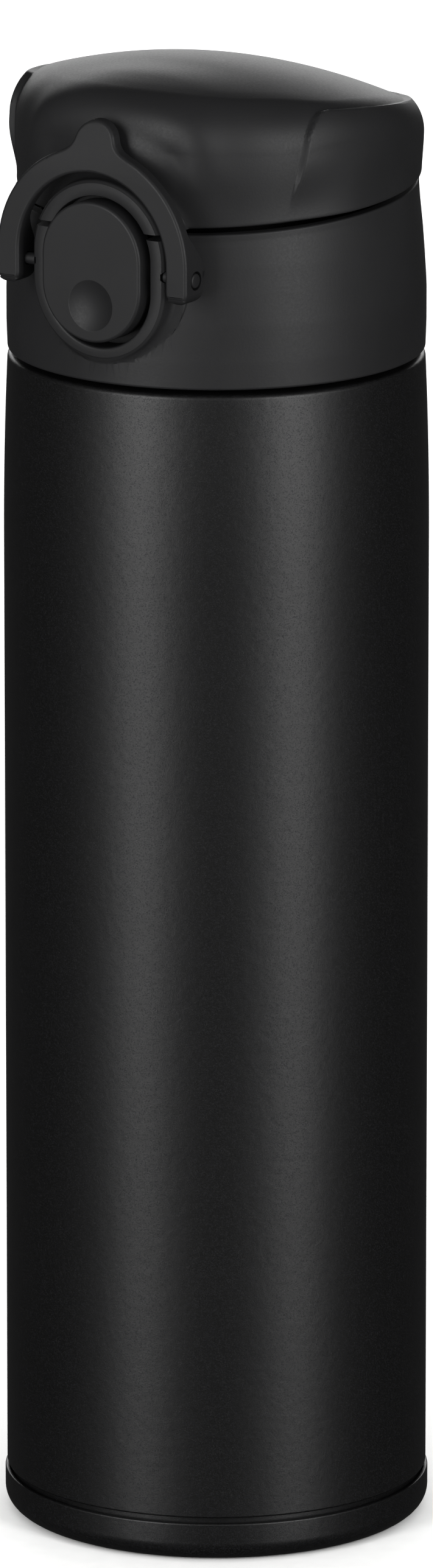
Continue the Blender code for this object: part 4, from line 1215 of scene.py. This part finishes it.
    def gasket(self) -> bpy.types.Object:
        """Models the mouth's silicone ring, with a groove round its outer edge."""
        low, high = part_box("spout_gasket")
        inner = self.marks.neck_r - 4.4 * MM
        centre = (low.z + high.z) / 2
        corners = [
            (inner, low.z, 0.3 * MM),
            (high.x, low.z, 0.2 * MM),
            (high.x, centre - 0.3 * MM, 0.1 * MM),
            (high.x - 0.4 * MM, centre, 0.1 * MM),
            (high.x, centre + 0.3 * MM, 0.1 * MM),
            (high.x, high.z, 0.2 * MM),
            (inner, high.z, 0.3 * MM),
        ]
        bm = spun(rounded(corners), 160)
        silicone = self.palette.silicone
        return add_piece(bm, "mouth_gasket", silicone, Slot.SILICONE, "gasket", "spout_gasket")

    def pins(self) -> None:
        """Models the hinge pin, the button's pin and the two domed ring pins."""
        m, steel = self.marks, self.palette.steel
        tip = 0.25 * MM
        bm = rod(m.pin_r, -m.hinge_end, m.hinge_end, m.hinge_axis, tip)
        add_piece(bm, "hinge_rod", steel, Slot.STEEL, "cap", "hinge_pin")
        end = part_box("button_pin")[1].x
        bm = rod(m.pin_r, -end, end, m.button_axis, tip)
        add_piece(bm, "button_rod", steel, Slot.STEEL, "cap", "button_pin")
        low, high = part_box("ring_pin_right")
        head, head_r = m.ring_r - 0.6 * MM, 1.15 * MM
        corners = [(0.0, low.x, 0.0), (0.9 * MM, low.x, 0.2 * MM), (0.9 * MM, head, 0.1 * MM)]
        corners += [(head_r, head, 0.1 * MM), (head_r, high.x - 0.1 * MM, 0.6 * MM), (0.0, high.x, 0.0)]
        for side, name in ((-1, "left"), (1, "right")):
            bm = spun(rounded(corners), 48)
            turn = Matrix.Rotation(side * math.pi / 2, 4, "Y")
            bm.transform(Matrix.Translation((0, *m.ring_axis)) @ turn)
            satin = self.palette.satin
            add_piece(bm, f"ring_stud_{name}", satin, Slot.SATIN, "cap", f"ring_pin_{name}")

    def springs(self) -> None:
        """Models the lid's torsion spring and the button's coil spring."""
        m, spring = self.marks, self.palette.spring
        wire_r, coil_r = 0.35 * MM, 1.9 * MM
        y, z = m.hinge_axis
        end = m.knuckle_inner - 2 * wire_r - m.gap
        floor = z - m.knuckle_r - 1.4 * MM + m.gap + 2 * wire_r
        points = [Vector((-end, y + coil_r, floor))]
        points += [Vector((0, y, z)) + p for p in coil(coil_r, 4.25, -end, end)]
        points.append(Vector((end, y - 3.0 * MM, m.bridge_z - m.gap - 2 * wire_r)))
        bm = wire(points, wire_r)
        add_piece(bm, "lid_torsion_spring", spring, Slot.SPRING, "cap", "lid_spring")
        low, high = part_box("button_spring")
        seat = (low.z + high.z) / 2
        turns = coil(2.2 * MM, 2.5, low.y + 0.25 * MM, high.y - 0.25 * MM)
        bm = wire([Vector((p.y, p.x, p.z + seat)) for p in turns], 0.25 * MM)
        add_piece(bm, "button_coil", spring, Slot.SPRING, "cap", "button_spring")

    def build(self) -> None:
        """Builds every piece of the cap unit."""
        self.collar()
        self.spout()
        self.gasket()
        self.pins()
        self.springs()


@dataclass
class Lid:
    """The domed lid: shell with hood and cheeks, hinge cover, liner and seal."""

    marks: Landmarks
    palette: Palette
    wall_r: float = 30.4 * MM
    wall: float = 2.4 * MM
    crown_y: float = -8.0 * MM
    rear_fall: float = 11.17 * MM
    side_fall: float = 5.25 * MM
    front_fillet: float = 8.0 * MM
    side_fillet: float = 6.0 * MM
    cheek_proud: float = 0.95 * MM
    cheek_from: float = 54.0
    cheek_lean: float = 6.0
    cheek_top: float = 48.0
    cheek_corner: float = 5.0 * MM
    edge_reach: float = 8.0
    hood_r: float = 23.6 * MM
    hood_narrow: float = 3.0 * MM
    hood_width: float = 3.1 * MM
    hood_proud: float = 0.9 * MM
    channel_in: float = 4.6 * MM
    channel_width: float = 1.6 * MM
    channel_depth: float = 0.3 * MM
    foot_edge: float = 0.3 * MM
    segments: int = 480
    bridge_thickness: float = 2.3 * MM

    def __post_init__(self) -> None:
        """Works out the crown's radii and the rows of one meridian."""
        self.crown_ry = (self.wall_r - self.crown_y) ** 2 / (2 * self.rear_fall)
        self.crown_rx = self.wall_r**2 / (2 * self.side_fall)
        outer = [("crown", s) for s in spread(0, 1, 22)[:-1]]
        outer += [("fillet", s) for s in spread(1, 0, 36)[:-1]]
        outer += [("side", s) for s in spread(1, 0, 30)[:-1]]
        outer += [("foot", s) for s in spread(0, 1, 3)]
        inner = [("side", s) for s in spread(0, 1, 4)[:-1]]
        inner += [("fillet", s) for s in spread(0, 1, 6)[:-1]]
        inner += [("crown", s) for s in spread(1, 0, 6)]
        self.rows = [(*row, 0.0) for row in outer] + [(*row, self.wall) for row in inner]

    def crown_z(self, x: float, y: float) -> float:
        """Returns the height of the domed top, which peaks forward of the middle."""
        along = (y - self.crown_y) ** 2 / (2 * self.crown_ry)
        return self.marks.crown - along - x**2 / (2 * self.crown_rx)

    def crowded(self, angle: float) -> float:
        """Returns a column's turn from the front, with columns drawn to the cheeks' front edges."""
        off = (math.degrees(abs(angle)) - self.cheek_from) / self.edge_reach
        drawn = self.cheek_from + self.edge_reach * off * (1 - 0.6 * math.exp(-(off**2)))
        return math.copysign(math.radians(drawn), angle)

    def leaned(self, column: float, z: float) -> float:
        """Returns a column's turn at a height: near the cheeks' front edges it leans back."""
        part = min(1.0, max(0.0, (z - self.marks.parting_z - 1 * MM) / (13 * MM)))
        near = bump(math.degrees(abs(column)), self.cheek_from, 2 * self.edge_reach)
        return column + math.copysign(math.radians(self.cheek_lean * part * near), column)

    def cheek(self, column: float, below: float, z: float) -> float:
        """Tells how far a place is on the raised cheek.

        Args:
            column: Turn of the place's column from the front.
            below: Distance down the skin from the cheek's top edge.
            z: Height of the place; the front edge fades out at the foot.

        Returns:
            The share, 0 off the cheek and 1 on it.
        """
        foot = self.marks.parting_z
        behind = (abs(column) - math.radians(self.cheek_from)) * self.wall_r
        corner = self.cheek_corner
        inside = min(behind, below)
        if max(behind, below) < corner or inside < corner:
            rest = math.hypot(max(0.0, corner - behind), max(0.0, corner - below))
            inside = corner - rest
        front_fade = smooth_step(z, foot + 0.5 * MM, foot + 9 * MM)
        fade = front_fade + (1 - front_fade) * smooth_step(behind, 0.0, 12 * MM)
        return smooth_step(inside, -0.25 * MM, 0.45 * MM) * fade

    def relief(self, point: Vector) -> float:
        """Returns how far the skin stands out: the hood round the ring and its channel."""
        m = self.marks
        up = point.z - m.button_upper
        reach = math.hypot(point.x, up)
        round_top = math.degrees(math.atan2(abs(point.x), up))
        front = smooth_step(-point.y, 10 * MM, 20 * MM) * (1 - smooth_step(round_top, 28, 66))
        ridge = self.hood_r - self.hood_narrow * smooth_step(round_top, 32, 54)
        hood = self.hood_proud * bump(reach, ridge, self.hood_width)
        channel = self.channel_depth * bump(reach, ridge - self.channel_in, self.channel_width)
        return (hood - channel) * front

    def skin(self, angle: float, row: tuple[str, float, float]) -> tuple[Vector, Vector, float]:
        """Maps one row of a meridian to the lid's plain skin.

        Args:
            angle: Turn from the front about Z.
            row: Which stretch of the meridian, the share along it, and the inset.

        Returns:
            The place, the way out of the skin, and the distance below the cheek's top edge.
        """
        stretch, share, inset = row
        m = self.marks
        heading = Vector((math.sin(angle), -math.cos(angle), 0.0))
        turned = smooth_step(math.degrees(abs(angle)), 50.0, 75.0)
        fillet = self.front_fillet + (self.side_fillet - self.front_fillet) * turned
        fillet = max(1.0 * MM, fillet - inset)

        def radius_at(z: float) -> float:
            if inset:
                return self.wall_r - inset
            wave = 0.18 * MM * math.sin(2 * math.pi * (z - m.parting_z - 4.2 * MM) / (15 * MM))
            return self.wall_r + wave

        def top(r: float) -> float:
            return self.crown_z(r * heading.x, r * heading.y) - inset

        corner = self.wall_r - inset
        fall = (top(corner - fillet) - top(corner)) / fillet
        spring_z = top(corner) - fillet * (math.hypot(1, fall) - fall)
        side_r = radius_at(spring_z)
        leaning = math.atan(fall)
        full = math.pi / 2 - leaning
        foot = m.parting(self.wall_r * heading.y) + m.parting_gap / 2
        top_turn = math.radians(self.cheek_top)
        if stretch == "crown":
            r = (side_r - fillet * (1 - math.sin(leaning))) * share
            spot, normal = Vector((0, 0, top(r))) + heading * r, Vector((0, 0, 1))
            below = -fillet * (full - top_turn)
        elif stretch == "fillet":
            turn = full * share
            r = side_r - fillet * (1 - math.cos(turn))
            z = spring_z + fillet * math.sin(turn)
            spot = heading * r + Vector((0, 0, z))
            normal = heading * math.cos(turn) + Vector((0, 0, math.sin(turn)))
            below = fillet * (top_turn - turn)
        elif stretch == "side":
            edge = 0.0 if inset else self.foot_edge
            z = foot + edge + (spring_z - foot - edge) * share
            spot, normal = heading * radius_at(z) + Vector((0, 0, z)), heading
            below = fillet * top_turn + spring_z - z
        else:
            turn = math.pi / 2 * share
            z = foot + self.foot_edge * (1 - math.sin(turn))
            r = radius_at(foot) - self.foot_edge * (1 - math.cos(turn))
            spot, normal = heading * r + Vector((0, 0, z)), heading
            below = fillet * top_turn + spring_z - z
        return spot, normal, below

    def place(self, column: float, row: tuple[str, float, float]) -> Vector:
        """Returns the place of one vertex, with the lid's relief on the outer skin."""
        level = self.skin(column, row)[0].z
        spot, normal, below = self.skin(self.leaned(column, level), row)
        if row[2]:
            return spot
        proud = self.cheek_proud * self.cheek(column, below, spot.z)
        return spot + normal * (self.relief(spot) + proud)

    def form(self) -> bmesh.types.BMesh:
        """Spins a plain sleeve and moves its vertices onto the lid's inner and outer skins."""
        bm = bmesh.new()
        verts = [bm.verts.new((1.0, 0.0, float(i))) for i in range(len(self.rows))]
        edges = [bm.edges.new(pair) for pair in zip(verts, verts[1:])]
        bmesh.ops.spin(
            bm, geom=verts + edges, cent=(0, 0, 0), axis=(0, 0, 1), angle=2 * math.pi,
            steps=self.segments, use_merge=True,
        )
        for vert in bm.verts:
            angle = math.atan2(vert.co.x, -vert.co.y)
            vert.co = self.place(self.crowded(angle), self.rows[round(vert.co.z)])
        return cleaned(bm)

    def catch(self) -> bmesh.types.BMesh:
        """Models the hook behind the top of the button."""
        m = self.marks
        half, latch_z = m.latch_half, m.latch_z
        front = m.button_face + 3.6 * MM + 0.4 * MM + m.gap
        back = m.button_face + 6.2 * MM - m.gap
        low, high = latch_z - 0.8 * MM, latch_z + 4 * MM
        stem = block((-half, front + 0.4 * MM, low), (half, back, high), 0.15 * MM)
        tooth = block((-half, front, low), (half, front + 0.6 * MM, latch_z), 0.12 * MM)
        return combined(stem, Cut.ADD, tooth)

    def hinge_web(self) -> bmesh.types.BMesh:
        """Models the bridge between the cheeks and the two knuckles that hang from it."""
        m = self.marks
        y, z = m.hinge_axis
        under = m.bridge_z
        top = under + self.bridge_thickness
        half = m.knuckle_outer + 6.3 * MM
        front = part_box("hinge_cover")[0].y
        bridge = block((-half, front - 2 * MM, under), (half, y - 2.4 * MM, top), 0.3 * MM)
        rear = block(
            (-m.knuckle_outer - 0.05 * MM, front, under + 0.02 * MM),
            (m.knuckle_outer + 0.05 * MM, y + 0.9 * MM, top - 0.02 * MM),
        )
        outline = [(y - m.knuckle_r, under + 1.1 * MM)]
        outline += arc((y, z), m.knuckle_r, 180, 430, 36)
        outline.append((y + 1.0 * MM, under + 1.1 * MM))
        web = combined(bridge, Cut.ADD, rear)
        for side in (-1, 1):
            ends = sorted((side * m.knuckle_inner, side * m.knuckle_outer))
            web = combined(web, Cut.ADD, prism(outline, "X", ends))
        return web

    def shell(self) -> bpy.types.Object:
        """Models the lid's shell with the upper half of the button's frame."""
        m = self.marks
        inner_r = self.wall_r - self.wall
        frame = sliced(bezel_block(m, -inner_r + 0.9 * MM, self.wall_r), m, 1)
        low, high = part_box("hinge_cover")
        y, z = m.hinge_axis
        room = block(
            (-high.x - m.gap, low.y - m.gap, z - 5 * MM),
            (high.x + m.gap, y + 20 * MM, m.crown),
        )
        wall_floor = m.button_face + 4.1 * MM
        bm = combined(self.form(), Cut.ADD, frame)
        bm = combined(bm, Cut.AWAY, slot_cutter(m, wall_floor, m.button_lower), room)
        bm = combined(bm, Cut.ADD, self.catch(), self.hinge_web())
        bm = combined(bm, Cut.AWAY, rod(m.pin_bore_r, -13 * MM, 13 * MM, (y, z)))
        return add_piece(bm, "lid_dome", self.palette.matte, Slot.MATTE, "lid", "lid_shell")

    def rear_cover(self) -> bpy.types.Object:
        """Models the hinge cover; its top carries on the dome between the cheeks."""
        low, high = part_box("hinge_cover")
        under = self.marks.bridge_z
        seat = under + self.bridge_thickness + self.marks.gap
        lip = high.y - 2.5 * MM
        rear = self.crown_z(0, high.y) + 0.4 * MM
        crest = self.crown_z(0, low.y)
        corners = [
            (low.y, seat, 0.0),
            (lip, seat, 0.4 * MM),
            (lip, under, 0.2 * MM),
            (high.y, under, 0.4 * MM),
            (high.y, rear, 2.2 * MM),
            (low.y, crest, 0.3 * MM),
        ]
        bm = prism(rounded(corners, 9.0), "X", spread(-high.x, high.x, 16))
        caps = [e for e in bm.edges if all(abs(abs(v.co.x) - high.x) < 0.01 * MM for v in e.verts)]
        above = [e for e in caps if min(v.co.z for v in e.verts) > seat + 0.1 * MM]
        soften(bm, above, 0.5 * MM, 3)
        for vert in bm.verts:
            share = smooth_step(vert.co.z, seat, crest - 1 * MM)
            vert.co.z -= vert.co.x**2 / (2 * self.crown_rx) * share
        return add_piece(bm, "rear_cover", self.palette.satin, Slot.SATIN, "lid", "hinge_cover")

    def liner(self) -> bpy.types.Object:
        """Models the liner cup under the dome."""
        low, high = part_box("lid_liner")
        wall = 1.4 * MM
        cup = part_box("lid_seal")[1].x + 0.7 * MM + wall
        flange = self.marks.parting_z + 1.0 * MM
        corners = [
            (0.0, high.z, 0.0),
            (cup, high.z, 0.8 * MM),
            (cup, flange + wall, 0.6 * MM),
            (high.x, flange + wall, 0.3 * MM),
            (high.x, flange, 0.3 * MM),
            (cup, flange, 0.5 * MM),
            (cup, low.z, 0.5 * MM),
            (cup - wall, low.z, 0.5 * MM),
            (cup - wall, high.z - wall, 1.0 * MM),
            (0.0, high.z - wall, 0.0),
        ]
        bm = spun(rounded(corners), 160)
        return add_piece(bm, "liner_cup", self.palette.inner, Slot.INNER, "lid", "lid_liner")

    def seal(self) -> bpy.types.Object:
        """Models the silicone disc that closes the spout, with its plug and two beads."""
        low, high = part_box("lid_seal")
        disc_z = self.marks.spout_top + self.marks.gap
        plug = high.x - 2.2 * MM - 2.6 * MM
        corners = [
            (0.0, low.z + 0.5 * MM, 0.0),
            (plug - 4.0 * MM, low.z + 0.5 * MM, 0.5 * MM),
            (plug - 3.2 * MM, low.z, 0.4 * MM),
            (plug, low.z, 0.5 * MM),
            (plug, disc_z, 0.3 * MM),
            (high.x, disc_z, 0.5 * MM),
            (high.x, high.z, 0.5 * MM),
            (0.0, high.z, 0.0),
        ]
        bm = spun(rounded(corners), 160)
        silicone = self.palette.silicone
        return add_piece(bm, "sealing_disc", silicone, Slot.SILICONE, "lid", "lid_seal")

    def build(self) -> None:
        """Builds every piece of the lid."""
        self.shell()
        self.rear_cover()
        self.liner()
        self.seal()


@dataclass
class LockRing:
    """The horseshoe that locks the lid, with a finger tab at its top."""

    marks: Landmarks
    palette: Palette
    width: float = 3.8 * MM
    thickness: float = 1.8 * MM
    limb_depth: float = 4.6 * MM
    edge: float = 0.5 * MM
    head_depth: float = 0.8 * MM
    tab_width: float = 11.4 * MM
    tip_r: float = 3.6 * MM
    lean: float = 0.25

    def tab_flank(self, root: Vector, tip: Vector, centre: Vector) -> list[Point]:
        """Returns the S-curve from the ring's outer edge to the tab's round tip.

        Args:
            root: Where the curve leaves the ring's outer circle.
            tip: Where it meets the tip's circle.
            centre: Middle of the ring.

        Returns:
            The points between the two ends.
        """
        leave = Vector((-(root - centre).y, (root - centre).x)).normalized()
        arrive = Vector((-math.sin(math.radians(15)), math.cos(math.radians(15))))
        handles = (root, root + leave * 2.6 * MM, tip - arrive * 2.2 * MM, tip)
        points = []
        for t in spread(0, 1, 12)[1:-1]:
            weights = ((1 - t) ** 3, 3 * t * (1 - t) ** 2, 3 * t**2 * (1 - t), t**3)
            spot = sum((h * w for h, w in zip(handles, weights)), Vector((0.0, 0.0)))
            points.append((spot.x, spot.y))
        return points

    def outline(self) -> list[Point]:
        """Returns the horseshoe's outline in X and Z."""
        m = self.marks
        centre_z = m.button_upper
        inner_r = m.ring_r - self.width
        root_angle = math.degrees(math.asin(self.tab_width / 2 / m.ring_r)) + 8
        right = arc((0.0, centre_z), m.ring_r, 0, 90 - root_angle, 28)
        tip = arc((0.0, m.ring_tip - self.tip_r), self.tip_r, 15, 90, 12)
        flank = self.tab_flank(Vector(right[-1]), Vector(tip[0]), Vector((0.0, centre_z)))
        half = right + flank + tip
        foot_r = self.width / 2
        feet_z = m.ring_foot + foot_r
        left_foot = arc((-inner_r - foot_r, feet_z), foot_r, 180, 360, 16)
        right_foot = arc((inner_r + foot_r, feet_z), foot_r, 180, 360, 16)
        inner = arc((0.0, centre_z), inner_r, 180, 0, 64)
        mirrored = [(-x, z) for x, z in reversed(half[:-1])]
        return half + mirrored + left_foot + inner + right_foot

    def side_profile(self) -> list[Point]:
        """Returns the ring seen from its side: deep at the pins, thin above."""
        m = self.marks
        face, limb = m.ring_face, m.ring_face + self.limb_depth
        back = face + self.thickness
        tip_z = m.ring_tip + 1 * MM
        corners = [
            (face, m.ring_foot, m.ring_foot_round),
            (limb, m.ring_foot, m.ring_foot_round),
            (limb, m.button_upper + 1.0 * MM, 3.0 * MM),
            (back, m.button_upper + 5.0 * MM, 3.0 * MM),
            (back, tip_z, 0.0),
            (face, tip_z, 0.0),
        ]
        return rounded(corners, 6.0)

    def lean_tab(self, bm: bmesh.types.BMesh) -> None:
        """Bends the finger tab back, a little more towards its tip."""
        start = self.marks.button_upper + self.marks.ring_r - 5 * MM
        ease = 6 * MM
        for level in spread(start, self.marks.ring_tip - 0.7 * MM, 10):
            whole = bm.verts[:] + bm.edges[:] + bm.faces[:]
            bmesh.ops.bisect_plane(bm, geom=whole, plane_co=(0, 0, level), plane_no=(0, 0, 1))
        for vert in bm.verts:
            above = max(0.0, vert.co.z - start)
            bent = above**2 / (2 * ease) if above < ease else above - ease / 2
            vert.co.y += self.lean * bent

    def build(self) -> None:
        """Builds the ring."""
        m = self.marks
        stations = [m.ring_face, m.ring_face + self.limb_depth + 1 * MM]
        bm = prism(self.outline(), "Y", stations)
        reach = m.ring_r + 1 * MM
        side = prism(self.side_profile(), "X", [-reach, reach])
        bm = combined(bm, Cut.COMMON, side)
        rim = [e for e in bm.edges if self.is_front_rim(e)]
        soften(bm, rim, self.edge, 3, clamp=False)
        bm = cleaned(bm)
        holes = []
        for sign in (-1, 1):
            far = sign * reach
            bore = rod(1.05 * MM, sign * (m.ring_r - self.width - 1 * MM), far, m.ring_axis)
            recess = rod(1.45 * MM, sign * (m.ring_r - self.head_depth), far, m.ring_axis)
            holes += [bore, recess]
        bm = combined(bm, Cut.AWAY, *holes)
        self.lean_tab(bm)
        add_piece(bm, "safety_ring", self.palette.satin, Slot.SATIN, "ring", "lock_ring")

    def is_front_rim(self, edge: bmesh.types.BMEdge) -> bool:
        """Tells whether an edge lies between the ring's front face and its sides."""
        if len(edge.link_faces) != 2:
            return False
        facing = [f.normal.y < -0.9 for f in edge.link_faces]
        return facing[0] != facing[1] and edge.calc_face_angle() > math.radians(50)


@dataclass
class PushButton:
    """The slot-shaped button with a finger dimple low on its face."""

    marks: Landmarks
    palette: Palette
    thickness: float = 3.6 * MM
    edge: float = 0.5 * MM
    dimple_r: float = 4.0 * MM
    dimple_depth: float = 0.9 * MM
    dimple_margin: float = 1.7 * MM
    lug_r: float = 1.7 * MM

    def build(self) -> None:
        """Builds the button with its lug, its latch tooth and its bore."""
        m = self.marks
        back = m.button_face + self.thickness
        outline = stadium(m.button_r, m.button_upper, m.button_lower, 48)
        bm = prism(outline, "Y", [m.button_face, back])
        rim = [e for e in bm.edges if all(v.co.y < m.button_face + 0.01 * MM for v in e.verts)]
        soften(bm, rim, self.edge, 4)
        lug_half = m.pocket_r - 2 * MM
        lug = rod(self.lug_r, -lug_half, lug_half, m.button_axis, 0.2 * MM)
        half, latch_z = m.latch_half, m.latch_z
        tooth = block(
            (-half, back - m.gap, latch_z + m.gap), (half, back + 0.4 * MM, latch_z + 1.5 * MM)
        )
        bm = combined(bm, Cut.ADD, lug, tooth)
        dimple = bmesh.new()
        sphere_r = (self.dimple_r**2 + self.dimple_depth**2) / (2 * self.dimple_depth)
        dimple_z = m.button_lower - m.button_r + self.dimple_r + self.dimple_margin
        centre = (0, m.button_face - sphere_r + self.dimple_depth, dimple_z)
        turn = Matrix.Rotation(math.pi / 2, 4, "X")
        place = Matrix.Translation(centre) @ turn
        bmesh.ops.create_uvsphere(dimple, u_segments=96, v_segments=96, radius=sphere_r, matrix=place)
        bore = rod(m.pin_bore_r, -m.pocket_r, m.pocket_r, m.button_axis)
        bm = combined(bm, Cut.AWAY, dimple, bore)
        add_piece(bm, "release_button", self.palette.satin, Slot.SATIN, "button", "push_button")


# ---------------------------------------------------------------- studio


@dataclass(frozen=True)
class Softbox:
    """One upright light panel that faces the flask."""

    name: str
    azimuth: float
    distance: float
    height: float
    width: float
    tall: float
    power: float


@dataclass
class Studio:
    """Pale floor, even room light, upright softboxes and the camera."""

    azimuth: float = 33.0
    far: float = 2100 * MM
    camera_height: float = 657 * MM
    lens: float = 324.0
    floor_size: float = 12.0
    room: float = 1.0
    gloss_room: float = 0.04
    boxes: tuple[Softbox, ...] = (
        Softbox("left_box", -8.0, 1.1, 0.30, 0.30, 1.3, 12.5),
        Softbox("right_box", 74.0, 1.1, 0.30, 0.30, 1.3, 12.5),
        Softbox("back_panel", 213.0, 1.4, 0.50, 1.10, 0.5, 6.5),
    )

    def heading(self, azimuth: float) -> Vector:
        """Returns the level direction from the flask towards an azimuth; 0 is the front."""
        turn = math.radians(azimuth)
        return Vector((math.sin(turn), -math.cos(turn), 0.0))

    def floor(self) -> None:
        """Lays the pale paper floor. Reflections pass through it to the dim room."""
        bm = bmesh.new()
        bmesh.ops.create_grid(bm, x_segments=4, y_segments=4, size=self.floor_size / 2)
        floor = as_object(bm, "studio_floor")
        floor.data.materials.append(PaperSweep("pale_paper", "#f4f4f3", "#fafaf9", 0.8, 0.95).build())
        floor.visible_glossy = False
        floor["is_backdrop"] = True

    def room_light(self) -> None:
        """Fills the room with even white light, dim where gloss would mirror it."""
        world = bpy.data.worlds.new("studio_room")
        bpy.context.scene.world = world
        world.use_nodes = True
        tree = world.node_tree
        rays = add_node(tree, "ShaderNodeLightPath")
        strength = add_node(
            tree,
            "ShaderNodeMapRange",
            inputs={
                "Value": rays.outputs["Is Glossy Ray"], "To Min": self.room,
                "To Max": self.gloss_room,
            },
        )
        background = tree.nodes["Background"]
        background.inputs["Color"].default_value = (1.0, 1.0, 1.0, 1.0)
        tree.links.new(strength.outputs["Result"], background.inputs["Strength"])

    def light(self, box: Softbox, aim: Vector) -> None:
        """Places one softbox and turns it to the flask."""
        data = bpy.data.lights.new(box.name, "AREA")
        data.shape = "RECTANGLE"
        data.size = box.width
        data.size_y = box.tall
        data.energy = box.power
        lamp = bpy.data.objects.new(box.name, data)
        lamp.location = self.heading(box.azimuth) * box.distance + Vector((0, 0, box.height))
        level = Vector((aim.x, aim.y, box.height)) - lamp.location
        lamp.rotation_euler = level.to_track_quat("-Z", "Y").to_euler()
        bpy.context.scene.collection.objects.link(lamp)

    def camera(self, aim: Vector) -> None:
        """Places the camera at its height and aims it at the flask's middle."""
        data = bpy.data.cameras.new("studio_camera")
        data.lens = self.lens
        data.clip_end = 50.0
        camera = bpy.data.objects.new("studio_camera", data)
        camera.location = self.heading(self.azimuth) * self.far + Vector((0, 0, self.camera_height))
        view = aim - camera.location
        camera.rotation_euler = view.to_track_quat("-Z", "Y").to_euler()
        bpy.context.scene.collection.objects.link(camera)
        bpy.context.scene.camera = camera

    def build(self, low: Vector, high: Vector) -> None:
        """Builds the studio round the object's box."""
        aim = Vector((0.0, 0.0, (low.z + high.z) / 2))
        self.floor()
        self.room_light()
        for box in self.boxes:
            self.light(box, aim)
        self.camera(aim)
        bpy.context.scene.view_settings.view_transform = "Standard"


def main() -> None:
    """Loads the frame and builds the flask and its studio."""
    logging.basicConfig(level=logging.INFO, format="%(name)s: %(message)s")
    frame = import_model()
    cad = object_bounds()
    marks = Landmarks.read()
    palette = Palette()
    Bottle(marks, palette).build(frame["nodes"])
    CapUnit(marks, palette).build()
    Lid(marks, palette).build()
    LockRing(marks, palette).build()
    PushButton(marks, palette).build()
    Studio().build(*cad)


if __name__ == "__main__":
    main()
